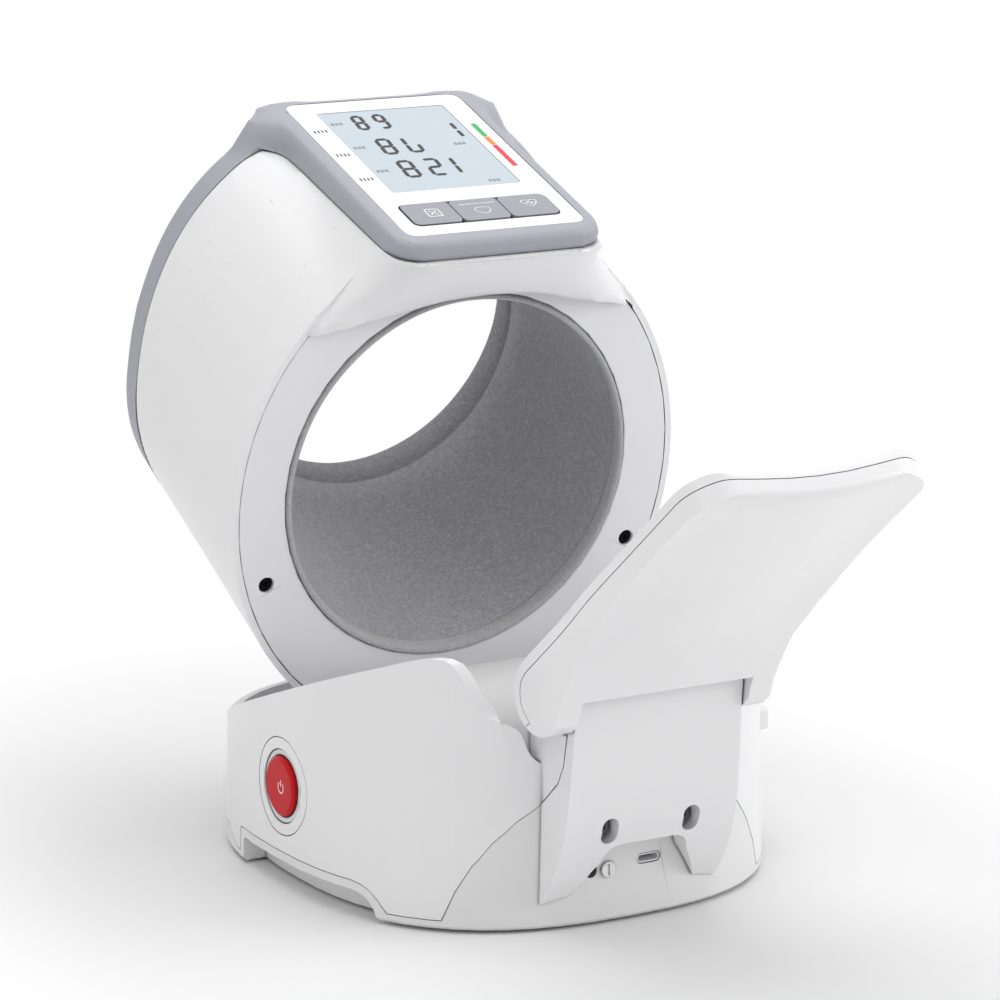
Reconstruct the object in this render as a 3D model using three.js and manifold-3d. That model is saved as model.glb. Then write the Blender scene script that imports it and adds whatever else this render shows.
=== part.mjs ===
// Arm-in blood pressure monitor: a slanted cuff barrel with a display on its brow, tilting in a
// tub-shaped base, with a folding elbow rest in front. Millimetres, +Z up, +X across the arm,
// -Y towards the elbow, +Y towards the shoulder of the person who uses it.
import * as THREE from "three";
import { mergeVertices } from "three/addons/utils/BufferGeometryUtils.js";
import Module from "manifold-3d";

const wasm = await Module();
wasm.setup();

// General sizes
const wall = 2.4;
const gap = 0.3;
const deg = Math.PI / 180;

// Base, an oval tub seen from above
const baseHalfWidth = 87.6;
const baseHalfDepth = 96.6;
const baseSquareness = 2.53;
const baseDraft = 1.2 * deg;
const footHeight = 1.2;
const footRadius = 7;
const frontWallTop = 72.7;
const sideWallPeak = 95;
const backWallTop = 45;
const tubFloor = 21.5;
const deckFront = 70;
const deckBack = 41;
const traySeam = 4.2;
const trayFloor = 2.6;
const sideRecessHeight = 9;
const sideRecessBand = 3;
const sideRecessDepth = 9;
const sideRecessFront = -58.5;
const sideRecessBack = 26;
const panelSeamHeight = 44.8;
const panelSeamHalf = 33;
const panelSeamFoot = 63;

// Cuff barrel: a mouth plane leaning forward, a rear plane parallel to it, and a rising axis
const mouthRadius = 69;
const mouthY = 23.6;
const mouthZ = 131.7;
const faceLean = 10.2 * deg;
const axisRise = 32 * deg;
const barrelLength = 90;
const nearHalfWidth = 89.5;
const nearHalfHeight = 96.5;
const nearDrop = 3.2;
const rearFlare = 3;
const rearHalfWidth = nearHalfWidth + rearFlare;
const rearTopHeight = 101.5;
const rearBottomHeight = 70;
const rearDrop = 19;
const rearSquareness = 2.3;
const rearOpeningRadius = 62.5;
const rearCoverDepth = 8;
const faceRingThickness = 2.6;
const faceRingInset = wall + gap;
const coreWall = 2;
const bladderThickness = 3;
const linerThickness = 2.2;
const coreOuter = mouthRadius + bladderThickness + gap + coreWall;
const faceScrewDrop = 33;
const faceScrewInward = 2.7;
const faceScrewPlace =
  (Math.sqrt(coreOuter ** 2 - faceScrewDrop ** 2) + nearHalfWidth - faceRingInset) / 2 - faceScrewInward;
const faceScrewHole = 2.9;

// Display housing on top of the barrel
const displayRise = 20.1 * deg;
const displayY = -5.7;
const displayZ = 224.8;
const panelHalfWidth = 35.6;
const panelLength = 100.2;
const panelThickness = 1.8;
const bezelHalfWidth = 42;
const bezelFront = 6.3;
const bezelBack = 6;
const bezelFloorFrontY = -12;
const bezelFloorFrontZ = 215.5;
const bezelFloorRise = 18.2 * deg;
const bezelCorner = 9;
const browStep = 1.2;
const browSpread = 0.062;
const browTurn = 22;
const browRounding = 0.15;
const browDepth = 32;
const browLean = 0.35;
const filletRise = 9;
const filletRun = 13;
const fairingLength = 17;
const fairingBulge = 11;
const fairingDrop = 0.15;
const fairingLift = 0.8;
const fairingFoot = 58;
const lcdHalfWidth = 26;
const lcdStart = 31;
const lcdMargin = 7.7;
const lcdLength = panelLength - lcdStart - lcdMargin;
const keyStripStart = 7;
const keyLength = 14.6;
const keyWidth = 19;

// Tilt hinge between barrel and base
const tiltY = 16;
const tiltZ = 44;
const drumRadius = 18.8;
const drumHalfLength = 54;
const tiltShaftRadius = 5;
const cheekThickness = 5;
const washerThickness = 1.4;

// Start button on the left wall
const startY = -5.4;
const startZ = 36.7;
const startRadius = 10.75;
const ringRadius = 12.9;
const startBezelRadius = 17.2;
const podInner = 69;
const podHalf = startBezelRadius + 4.4;

// Bracket and elbow rest
const restHingeY = -106.4;
const restHingeZ = 89.7;
const restHingePin = 2;
const restKnuckle = 6.5;
const bracketTopHalf = 32.3;
const bracketFootHalf = 35;
const legGapHalf = 15;
const legGapTop = 31;
const legFlare = 14;
const bracketScrewSpan = 16;
const bracketScrewZ = 36.8;
const screwSlotHalf = 4.7;
const restElevation = 38.5 * deg;
const restHalfWidth = 44;
const restRootHalf = 42;
const restLength = 130;
const restTop = 12.1;
const restTrough = 2.9;
const restTroughHalf = 34;
const restCorner = 15;
const restEndUnder = 1.5;
const upperShell = 3.5;
const restNotch = 33.2;

// Sockets on the front panel
const socketZ = 19.6;
const powerSocketX = -16;
const powerSocketRadius = 2.1;
const portPlugX = -9.8;
const usbSocketX = 6.6;
const usbSocketZ = 21.1;

// Colours
const white = () => new THREE.MeshStandardMaterial({ color: 0xeeeef0, roughness: 0.32 });
const satin = () => new THREE.MeshStandardMaterial({ color: 0xe2e3e4, roughness: 0.45 });
const grey = () => new THREE.MeshStandardMaterial({ color: 0x9d9da4, roughness: 0.5 });
const keyGrey = () => new THREE.MeshStandardMaterial({ color: 0xa4a4ab, roughness: 0.55 });
const fabric = () => new THREE.MeshStandardMaterial({ color: 0x7d7f84, roughness: 0.95 });
const red = () => new THREE.MeshStandardMaterial({ color: 0xcf1526, roughness: 0.35 });
const rubber = () => new THREE.MeshStandardMaterial({ color: 0x3a3a3c, roughness: 0.9 });
const glassy = () => new THREE.MeshStandardMaterial({ color: 0xcfdde6, roughness: 0.15 });
const lightRing = () => new THREE.MeshStandardMaterial({ color: 0xd9e6ea, roughness: 0.25 });
const steel = () => new THREE.MeshStandardMaterial({ color: 0xb9bcc0, roughness: 0.3, metalness: 1 });
const circuit = () => new THREE.MeshStandardMaterial({ color: 0x1f6b45, roughness: 0.6 });
const black = () => new THREE.MeshStandardMaterial({ color: 0x1b1b1d, roughness: 0.5 });
const cell = () => new THREE.MeshStandardMaterial({ color: 0x2f4f7a, roughness: 0.4 });

// Solids: a closed geometry becomes a manifold, and a manifold becomes a mesh geometry
function solid(geometry) {
  const bare = geometry.index ? geometry.toNonIndexed() : geometry.clone();
  bare.deleteAttribute("normal");
  bare.deleteAttribute("uv");
  const merged = mergeVertices(bare, 1e-4);
  return new wasm.Manifold(
    new wasm.Mesh({
      numProp: 3,
      vertProperties: merged.attributes.position.array,
      triVerts: new Uint32Array(merged.index.array),
    }),
  );
}

function geometryOf(body) {
  const mesh = body.getMesh();
  const geometry = new THREE.BufferGeometry();
  geometry.setAttribute("position", new THREE.BufferAttribute(new Float32Array(mesh.vertProperties), 3));
  geometry.setIndex(new THREE.BufferAttribute(new Uint32Array(mesh.triVerts), 1));
  geometry.computeVertexNormals();
  return geometry;
}

const union = (...bodies) => bodies.reduce((a, b) => a.add(b));
const cut = (body, ...tools) => tools.reduce((a, b) => a.subtract(b), body);
const common = (...bodies) => bodies.reduce((a, b) => a.intersect(b));
const moved = (body, x, y, z) => body.translate([x, y, z]);

// A closed solid through rings of points with the same count, each end closed by a fan
function loft(rings) {
  const count = rings[0].length;
  const positions = [];
  const index = [];
  for (const ring of rings) {
    for (const p of ring) positions.push(p.x, p.y, p.z);
  }
  for (let r = 0; r + 1 < rings.length; r++) {
    for (let i = 0; i < count; i++) {
      const a = r * count + i;
      const b = r * count + ((i + 1) % count);
      index.push(a, b, a + count, b, b + count, a + count);
    }
  }
  const ends = [rings[0], rings[rings.length - 1]];
  ends.forEach((ring, end) => {
    const centre = ring.reduce((sum, p) => sum.clone().add(p), new THREE.Vector3()).divideScalar(count);
    const hub = positions.length / 3;
    const first = end ? (rings.length - 1) * count : 0;
    positions.push(centre.x, centre.y, centre.z);
    for (let i = 0; i < count; i++) {
      const a = first + i;
      const b = first + ((i + 1) % count);
      index.push(...(end ? [hub, a, b] : [hub, b, a]));
    }
  });
  const geometry = new THREE.BufferGeometry();
  geometry.setAttribute("position", new THREE.Float32BufferAttribute(positions, 3));
  geometry.setIndex(index);
  const body = solid(geometry);
  if (body.volume() > 0) return body;
  for (let i = 0; i < index.length; i += 3) [index[i], index[i + 1]] = [index[i + 1], index[i]];
  geometry.setIndex(index);
  return solid(geometry);
}

// Prisms: a flat outline pushed along one axis between two places
function prism(outline, from, to, place, curveSegments = 12) {
  const geometry = new THREE.ExtrudeGeometry(outline, {
    depth: to - from,
    bevelEnabled: false,
    curveSegments,
  });
  geometry.translate(0, 0, from);
  const matrix = place();
  geometry.applyMatrix4(matrix);
  if (matrix.determinant() < 0) {
    const p = geometry.attributes.position.array;
    for (let i = 0; i < p.length; i += 9) {
      for (let k = 0; k < 3; k++) [p[i + k], p[i + 3 + k]] = [p[i + 3 + k], p[i + k]];
    }
  }
  return solid(geometry);
}
const alongX = () => new THREE.Matrix4().makeBasis(
  new THREE.Vector3(0, 1, 0), new THREE.Vector3(0, 0, 1), new THREE.Vector3(1, 0, 0));
const alongY = () => new THREE.Matrix4().makeBasis(
  new THREE.Vector3(1, 0, 0), new THREE.Vector3(0, 0, 1), new THREE.Vector3(0, 1, 0));
const prismX = (outline, x0, x1, segments) => prism(outline, x0, x1, alongX, segments);
const prismY = (outline, y0, y1, segments) => prism(outline, y0, y1, alongY, segments);
const prismZ = (outline, z0, z1, segments) => prism(outline, z0, z1, () => new THREE.Matrix4(), segments);

function polygon(points) {
  return new THREE.Shape(points.map(([a, b]) => new THREE.Vector2(a, b)));
}

function block(x0, x1, y0, y1, z0, z1) {
  const geometry = new THREE.BoxGeometry(x1 - x0, y1 - y0, z1 - z0);
  geometry.translate((x0 + x1) / 2, (y0 + y1) / 2, (z0 + z1) / 2);
  return solid(geometry);
}

function rod(radius, from, to, sides = 24, endRadius = radius) {
  const a = new THREE.Vector3(...from);
  const b = new THREE.Vector3(...to);
  const length = a.distanceTo(b);
  const geometry = new THREE.CylinderGeometry(endRadius, radius, length, sides);
  geometry.translate(0, length / 2, 0);
  const turn = new THREE.Quaternion().setFromUnitVectors(
    new THREE.Vector3(0, 1, 0), b.clone().sub(a).normalize());
  geometry.applyQuaternion(turn);
  geometry.translate(a.x, a.y, a.z);
  return solid(geometry);
}

function roundedRectangle(halfWidth, y0, y1, radius) {
  const r = Math.min(radius, halfWidth - 0.1, (y1 - y0) / 2 - 0.1);
  const shape = new THREE.Shape();
  shape.moveTo(-halfWidth + r, y0);
  shape.lineTo(halfWidth - r, y0);
  shape.absarc(halfWidth - r, y0 + r, r, -Math.PI / 2, 0, false);
  shape.lineTo(halfWidth, y1 - r);
  shape.absarc(halfWidth - r, y1 - r, r, 0, Math.PI / 2, false);
  shape.lineTo(-halfWidth + r, y1);
  shape.absarc(-halfWidth + r, y1 - r, r, Math.PI / 2, Math.PI, false);
  shape.lineTo(-halfWidth, y0 + r);
  shape.absarc(-halfWidth + r, y0 + r, r, Math.PI, Math.PI * 1.5, false);
  return shape;
}

function superPoint(angle, halfWidth, halfHeight, power) {
  const c = Math.cos(angle);
  const s = Math.sin(angle);
  return [
    halfWidth * Math.sign(c) * Math.abs(c) ** (2 / power),
    halfHeight * Math.sign(s) * Math.abs(s) ** (2 / power),
  ];
}

// Base body
const baseSides = 56;
function baseRing(z, inset = 0) {
  const grow = -z * Math.tan(baseDraft) - inset;
  return Array.from({ length: baseSides }, (_, i) => {
    const [x, y] = superPoint(
      (2 * Math.PI * i) / baseSides, baseHalfWidth + grow, baseHalfDepth + grow, baseSquareness);
    return new THREE.Vector3(x, y, z);
  });
}
const baseTall = (inset, z0, z1) => loft([baseRing(z0, inset), baseRing(z1, inset)]);

// The rim of the tub in side view, from the back wall up to the front peaks and down to the front wall
function rimCut() {
  const far = 140;
  const high = 140;
  const rim = new THREE.Shape();
  rim.moveTo(far, backWallTop);
  rim.lineTo(72, backWallTop);
  rim.quadraticCurveTo(50, backWallTop + 2, 34, backWallTop + 11.3);
  rim.lineTo(-58, sideWallPeak - 5.2);
  rim.bezierCurveTo(-66, sideWallPeak - 2.1, -71, sideWallPeak + 0.5, -75.5, sideWallPeak - 0.6);
  rim.bezierCurveTo(-79.5, sideWallPeak - 1.5, -80.5, frontWallTop + 11, -83.5, frontWallTop + 4.5);
  rim.bezierCurveTo(-85, frontWallTop + 1.4, -87, frontWallTop, -91, frontWallTop);
  rim.lineTo(-far, frontWallTop);
  rim.lineTo(-far, high);
  rim.lineTo(far, high);
  return prismX(rim, -far, far, 5);
}

// The front wall dips beside the bracket block, so that the rest's lobes can swing down
function lobeValley() {
  const outer = 46;
  const inner = panelSeamHalf + 0.2;
  const valley = new THREE.Shape();
  valley.moveTo(inner, 100);
  valley.lineTo(inner, frontWallTop - 14);
  valley.quadraticCurveTo(inner + 4, frontWallTop - 12, inner + 5.5, frontWallTop - 6);
  valley.quadraticCurveTo(inner + 7, frontWallTop, outer, frontWallTop);
  valley.lineTo(outer, 100);
  const right = prismY(valley, -120, -84, 4);
  return union(right, right.mirror([1, 0, 0]));
}

const deckDrop = wall;
function deckOutline(offset, y0, y1, top) {
  return polygon([
    [y0, deckFront - offset + ((-84 - y0) * (deckFront - deckBack)) / 79],
    [-5 - offset * 0.9, deckBack - offset],
    [-5 - offset * 0.9, tubFloor - offset],
    [y1, tubFloor - offset],
    [y1, top],
    [y0, top],
  ]);
}

function baseShell() {
  const outer = loft([
    baseRing(footHeight, 1.2), baseRing(footHeight + 1.2), baseRing(110)]);
  const inner = baseTall(wall, trayFloor + footHeight, 111);
  const tub = common(inner, prismX(deckOutline(0, -120, 120, 120), -110, 110));
  const bay = common(
    baseTall(wall, trayFloor + footHeight, 80),
    prismX(
      polygon([
        [-120, -5], [120, -5], [120, tubFloor - deckDrop], [-5 - deckDrop, tubFloor - deckDrop],
        [-5 - deckDrop, deckBack - deckDrop], [-82, deckFront - 3.4], [-82, 46.5], [-120, 46.5],
      ]), -110, 110),
  );
  const blockFront = polygon([
    [-80, 72], [-107.6, 72], [-105.5, 61], [-102.1, 54.6], [-92.4, 45.8], [-80, 45.8]]);
  const pod = block(-100, -podInner, startY - podHalf, startY + podHalf, 10, startZ + podHalf);
  const podRoom = common(baseTall(wall, trayFloor + footHeight, 80), block(
    -100, -podInner - wall, startY - podHalf + wall, startY + podHalf - wall, 10, startZ + podHalf - wall));
  let body = cut(outer, rimCut(), lobeValley(), cut(tub, pod), union(bay, podRoom));
  body = union(body, prismX(blockFront, -panelSeamHalf, panelSeamHalf));
  return body;
}

// Cheeks in the tub that carry the tilt shaft
function cheek(side) {
  const inner = drumHalfLength + washerThickness + 2 * gap;
  const shape = new THREE.Shape();
  shape.moveTo(tiltY - 12, tubFloor - 1);
  shape.lineTo(tiltY + 14, tubFloor - 1);
  shape.lineTo(tiltY + 9, tiltZ);
  shape.absarc(tiltY, tiltZ, 9, 0, Math.PI, false);
  shape.closePath();
  const plate = prismX(shape, inner, inner + cheekThickness, 6);
  return side > 0 ? plate : plate.mirror([1, 0, 0]);
}

// Side view of the finger recess under the left and right edges
function recessArch(grow) {
  const top = sideRecessHeight + footHeight + grow;
  const arch = new THREE.Shape();
  arch.moveTo(sideRecessBack + grow, -5);
  arch.lineTo(sideRecessBack + grow, top - 2.5);
  arch.quadraticCurveTo(sideRecessBack + grow, top, sideRecessBack + grow - 2.5, top);
  arch.lineTo(sideRecessFront + 12, top);
  arch.quadraticCurveTo(sideRecessFront + 4, top, sideRecessFront - grow + 1, footHeight + grow);
  arch.lineTo(sideRecessFront - grow - 1.5, -5);
  return arch;
}
function sideRecess(grow) {
  return cut(prismX(recessArch(grow), -120, 120, 4), baseTall(sideRecessDepth + grow, -6, 20));
}

// Where the tray ends and the cover begins: low at the sides, over the side recess, high in front
function trayRegion(clearance) {
  const low = polygon([
    [-130, -5], [130, -5], [130, traySeam + 5 + clearance], [sideRecessBack + 19, traySeam + 5 + clearance],
    [sideRecessBack + 7, traySeam + clearance], [-130, traySeam + clearance],
  ]);
  const shoulder = 56;
  const front = new THREE.Shape();
  front.moveTo(-panelSeamFoot - clearance, -5);
  front.lineTo(-panelSeamFoot - clearance, traySeam + clearance);
  front.quadraticCurveTo(-shoulder, 31 + clearance, -panelSeamHalf, panelSeamHeight + clearance);
  front.lineTo(panelSeamHalf, panelSeamHeight + clearance);
  front.quadraticCurveTo(shoulder, 31 + clearance, panelSeamFoot + clearance, traySeam + clearance);
  front.lineTo(panelSeamFoot + clearance, -5);
  return union(
    prismX(low, -130, 130),
    prismX(recessArch(sideRecessBand + clearance), -130, 130, 4),
    prismY(front, -130, -66 + clearance, 5),
  );
}

// Barrel outlines, as a point at an angle on the near edge (s = 0) to the rear edge (s = 1)
const faceUp = new THREE.Vector3(0, -Math.sin(faceLean), Math.cos(faceLean));
const faceOut = new THREE.Vector3(0, -Math.cos(faceLean), -Math.sin(faceLean));
const axisDir = new THREE.Vector3(0, Math.cos(axisRise), Math.sin(axisRise));
const mouthCentre = new THREE.Vector3(0, mouthY, mouthZ);
function inFace(t, x, w) {
  return mouthCentre.clone().addScaledVector(axisDir, t).addScaledVector(faceUp, w).setX(x);
}
function barrelPoint(angle, s, inset) {
  const [nx, nw] = superPoint(angle, nearHalfWidth - inset, nearHalfHeight - inset, 2);
  const rearHeight = Math.sin(angle) > 0 ? rearTopHeight : rearBottomHeight;
  const power = Math.sin(angle) > 0 ? rearSquareness : 2;
  const [rx, rw] = superPoint(angle, rearHalfWidth - inset, rearHeight - inset, power);
  const near = inFace(0, nx, nw - nearDrop);
  const rear = inFace(barrelLength, rx, rw - rearDrop);
  return near.lerp(rear, s);
}
const barrelSides = 48;
function barrelLoft(inset, s0, s1, steps = 2) {
  const rings = [];
  for (let k = 0; k <= steps; k++) {
    const s = s0 + ((s1 - s0) * k) / steps;
    rings.push(Array.from({ length: barrelSides }, (_, i) =>
      barrelPoint((2 * Math.PI * i) / barrelSides, s, inset)));
  }
  return loft(rings);
}

// Tunnel: a round bore that narrows from the mouth to the rear opening
function tunnelLoft(grow, t0, t1, sides = 40) {
  const rings = [t0, t1].map((t) => {
    const radius = mouthRadius + ((rearOpeningRadius - mouthRadius) * t) / barrelLength + grow;
    return Array.from({ length: sides }, (_, i) => {
      const a = (2 * Math.PI * i) / sides;
      return inFace(t, radius * Math.cos(a), radius * Math.sin(a));
    });
  });
  return loft(rings);
}
const slab = (t0, t1) => loft([t0, t1].map((t) => [[-200, -200], [200, -200], [200, 200], [-200, 200]]
  .map(([x, w]) => inFace(t, x, w))));

// Housing skirt under the bezel, flaring down into the barrel and forming the brow over the mouth
const bezelFloorDir = new THREE.Vector3(0, Math.cos(bezelFloorRise), Math.sin(bezelFloorRise));
const bezelFloorUp = new THREE.Vector3(0, -Math.sin(bezelFloorRise), Math.cos(bezelFloorRise));
const bezelFloorPoint = new THREE.Vector3(0, bezelFloorFrontY, bezelFloorFrontZ);
const bezelSpan = panelLength + bezelFront + bezelBack;
const skirtHalf = (depth) =>
  bezelHalfWidth + browStep * (1 - Math.exp(-depth / 2)) + (browSpread * depth ** 2) / (1 + depth / browTurn);
function skirtRing(depth, inset) {
  const shape = roundedRectangle(
    skirtHalf(depth) - inset, browLean * depth + inset, bezelSpan + 14, bezelCorner + browRounding * depth);
  return shape.getSpacedPoints(44).slice(0, 44).map((p) => bezelFloorPoint.clone()
    .addScaledVector(bezelFloorDir, p.y)
    .addScaledVector(bezelFloorUp, -depth)
    .setX(p.x));
}
function skirt(inset, top) {
  const rings = [browDepth, 26, 20, 15, 11, 7, 4, 1].map((depth) => skirtRing(depth, inset));
  rings.push(skirtRing(0, inset).map((p) => p.addScaledVector(bezelFloorUp, top)));
  return loft(rings);
}
// Lower edge of the brow in front view, drawn for the right half and mirrored
const browEdge = [[0, 200.4], [14, 199.8], [25, 198], [38, 194.6], [47, 193.4], [55, 192.6], [62, 190.2], [70, 185]];
function aboveBrowEdge() {
  const right = new THREE.SplineCurve(browEdge.map(([x, z]) => new THREE.Vector2(x, z))).getPoints(16);
  const left = right.slice(1).reverse().map((p) => new THREE.Vector2(-p.x, p.y));
  const points = [...left, ...right];
  points.push(new THREE.Vector2(100, 180), new THREE.Vector2(100, 300));
  points.push(new THREE.Vector2(-100, 300), new THREE.Vector2(-100, 180));
  return prismY(new THREE.Shape(points), -60, 140);
}

// Display frame: x across, y up the slope from the panel's near edge, z out of the panel
function displayMatrix() {
  const up = new THREE.Vector3(0, -Math.sin(displayRise), Math.cos(displayRise));
  const along = new THREE.Vector3(0, Math.cos(displayRise), Math.sin(displayRise));
  return new THREE.Matrix4()
    .makeBasis(new THREE.Vector3(1, 0, 0), along, up)
    .setPosition(0, displayY, displayZ);
}
const inDisplay = (outline, z0, z1, segments = 6) => prism(outline, z0, z1, displayMatrix, segments);
const aboveBezelFloor = () => loft([0, 60].map((h) => [[-90, -60], [90, -60], [90, 160], [-90, 160]]
  .map(([x, y]) => bezelFloorPoint.clone().addScaledVector(bezelFloorDir, y)
    .addScaledVector(bezelFloorUp, h).setX(x))));

// Everything above the bezel's underside, a little wider than the bezel itself
const underBezel = (half = bezelHalfWidth + 5) => loft([-gap, 60].map((h) =>
  [[-1, -40], [1, -40], [1, 160], [-1, 160]].map(([side, y]) => bezelFloorPoint.clone()
    .addScaledVector(bezelFloorDir, y).addScaledVector(bezelFloorUp, h).setX(side * half))));

const bezelRectangle = (inset, radius) =>
  roundedRectangle(bezelHalfWidth - inset, -bezelFront + inset, panelLength + bezelBack - inset, radius);

function bezelBlock(inset, top) {
  const edge = 1.4;
  const base = inDisplay(bezelRectangle(inset, bezelCorner - inset), -30, top - edge);
  const crown = inDisplay(bezelRectangle(inset + edge * 0.6, bezelCorner - inset - edge * 0.6), -30, top);
  return common(union(base, crown), aboveBezelFloor());
}

const seamT = barrelLength - rearCoverDepth;
const mirrorX = (body) => union(body, body.mirror([1, 0, 0]));

// Height of the barrel's upper surface over a place beside and behind its mouth
function barrelTop(x, y) {
  let low = 0;
  let high = Math.PI / 2;
  let point = new THREE.Vector3();
  for (let i = 0; i < 30; i++) {
    const angle = (low + high) / 2;
    const near = barrelPoint(angle, 0, 0);
    const rear = barrelPoint(angle, 1, 0);
    point = near.clone().lerp(rear, (y - near.y) / (rear.y - near.y));
    if (point.x > x) low = angle;
    else high = angle;
  }
  return point.z;
}

// Concave fillet where the skirt meets the barrel, as sections across the barrel
function filletSection(y) {
  const floorZ = bezelFloorFrontZ + (y - bezelFloorFrontY) * Math.tan(bezelFloorRise);
  const skirtPoint = (depth) =>
    new THREE.Vector2(skirtHalf(depth) - 0.1, floorZ - depth / Math.cos(bezelFloorRise));
  let low = 0;
  let high = browDepth;
  for (let i = 0; i < 30; i++) {
    const depth = (low + high) / 2;
    const p = skirtPoint(depth);
    if (p.y > barrelTop(p.x, y)) low = depth;
    else high = depth;
  }
  const start = skirtPoint(Math.max(0, low - filletRise));
  const meet = skirtPoint(low);
  const endX = meet.x + filletRun;
  const end = new THREE.Vector2(endX, barrelTop(endX, y) - 0.2);
  const curve = new THREE.QuadraticBezierCurve(start, meet, end).getPoints(6);
  curve.push(new THREE.Vector2(meet.x, meet.y - 9), new THREE.Vector2(start.x - 6, meet.y - 6));
  return curve.map((p) => new THREE.Vector3(p.x, y, p.y));
}
const fillets = mirrorX(common(
  loft([8, 14, 20, 27, 35, 45, 57, 70].map(filletSection)), slab(0, barrelLength)));

// Height in the face's plane of the barrel's shoulder, and of the bezel's top edge
function shoulderHeight(x, along) {
  const s = along / barrelLength;
  let low = 0;
  let high = Math.PI / 2;
  for (let i = 0; i < 30; i++) {
    const angle = (low + high) / 2;
    if (barrelPoint(angle, s, 0).x > x) low = angle;
    else high = angle;
  }
  return barrelPoint(low, s, 0).sub(mouthCentre).addScaledVector(axisDir, -along).dot(faceUp);
}
function planeHeight(along, planeY, planeZ, incline) {
  const slope = Math.tan(incline);
  const rise = planeZ - mouthZ - along * Math.sin(axisRise);
  const back = mouthY - planeY + along * Math.cos(axisRise);
  return (rise + back * slope) / (Math.cos(faceLean) + Math.sin(faceLean) * slope);
}

// Fairing at the rear: the bezel's side wall turns into an S-curve down to the barrel's shoulder
function fairingSection(along, tail = 0) {
  const full = THREE.MathUtils.smoothstep(along, barrelLength - fairingLength, barrelLength - 1);
  const top = planeHeight(along, displayY, displayZ, displayRise);
  const floor = planeHeight(along, bezelFloorFrontY, bezelFloorFrontZ, bezelFloorRise);
  const foot = new THREE.Vector2(fairingFoot, shoulderHeight(fairingFoot, along) - gap);
  const steps = 10;
  const sweep = new THREE.CubicBezierCurve(
    new THREE.Vector2(bezelHalfWidth - 1, top - fairingDrop),
    new THREE.Vector2(bezelHalfWidth + fairingBulge, top + fairingLift),
    new THREE.Vector2(bezelHalfWidth + fairingBulge - 1, top - 8.8),
    foot,
  ).getPoints(steps);
  const waist = new THREE.Vector2(bezelHalfWidth - gap, floor - 1);
  const hollow = new THREE.QuadraticBezierCurve(
    waist, new THREE.Vector2(waist.x, shoulderHeight(waist.x + 6, along)), foot).getPoints(steps / 2);
  const wallTop = new THREE.Vector2(bezelHalfWidth - 1, top - 2);
  const plain = [0, 1, 2, 3, 4].map((i) => wallTop.clone().lerp(waist, i / 5).setX(waist.x));
  plain.push(...hollow.map((p) => new THREE.Vector2(p.x - gap, p.y - 1)));
  const root = bezelHalfWidth - bezelCorner - 1;
  const corner = new THREE.Vector2(bezelHalfWidth - 3, top - 3);
  const ring = sweep.map((p, i) => plain[i].clone().lerp(p, full).lerp(corner, tail * (i / steps) ** 0.6));
  ring.push(new THREE.Vector2(foot.x - 3, foot.y - 6).lerp(corner, tail));
  ring.push(new THREE.Vector2(root, foot.y - 2).lerp(new THREE.Vector2(root, corner.y), tail));
  ring.push(new THREE.Vector2(root, ring[0].y));
  return ring.map((p) => inFace(along, p.x, p.y));
}
const fairings = mirrorX(loft([
  ...[17, 13, 9.5, 6, 3, 0].map((back) => fairingSection(barrelLength - back)),
  fairingSection(barrelLength + 3.5, 0.4), fairingSection(barrelLength + 7, 0.85), fairingSection(barrelLength + 8.6, 1),
]));
const outerBody = union(
  barrelLoft(0, 0, 1), common(skirt(0, 3), aboveBrowEdge(), slab(-60, barrelLength)), fillets);

function barrelShell() {
  const inside = union(
    barrelLoft(wall, -0.02, 1.02),
    common(skirt(wall, 12), slab(-60, barrelLength + 5)),
  );
  const white = slab(-60, seamT - gap);
  return cut(
    common(union(outerBody, fairings), white),
    underBezel(fairingFoot),
    inside,
  );
}

function faceRing() {
  const disc = barrelLoft(faceRingInset, 0, faceRingThickness / barrelLength, 1);
  const bore = tunnelLoft(0, -10, 10);
  const holes = [-1, 1].map((side) => {
    const from = inFace(0, side * (faceScrewPlace), -faceScrewDrop).addScaledVector(faceOut, 5);
    const to = from.clone().addScaledVector(faceOut, -20);
    return rod(faceScrewHole, from.toArray(), to.toArray(), 16);
  });
  return cut(disc, bore, underBezel(), ...holes);
}

function rearCover() {
  const rim = cut(
    common(outerBody, slab(seamT, barrelLength)),
    common(barrelLoft(wall, 0.5, 1.1), slab(seamT - 20, barrelLength - wall)),
  );
  const plate = common(
    barrelLoft(2, 0.9, 1.06, 1), slab(barrelLength - wall - 0.2, barrelLength + 3));
  const room = inDisplay(roundedRectangle(panelHalfWidth - 3, 3, panelLength - 3, 2), -60, 0, 3);
  return cut(
    union(rim, plate, bezelBlock(0, 0), common(fairings, union(slab(seamT, barrelLength + 20), aboveBezelFloor()))),
    tunnelLoft(0, -20, barrelLength + 40),
    inDisplay(roundedRectangle(panelHalfWidth + gap, -gap, panelLength + gap, 3.5), -panelThickness - gap, 10),
    inDisplay(roundedRectangle(panelHalfWidth - 3, 3, panelLength - 3, 2), -8, 0, 3),
    common(room, slab(-80, barrelLength - wall - 0.2)),
    inDisplay(roundedRectangle(27, panelLength + 2.4, panelLength + 30, 4), -1.1, 10, 4),
  );
}

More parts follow.
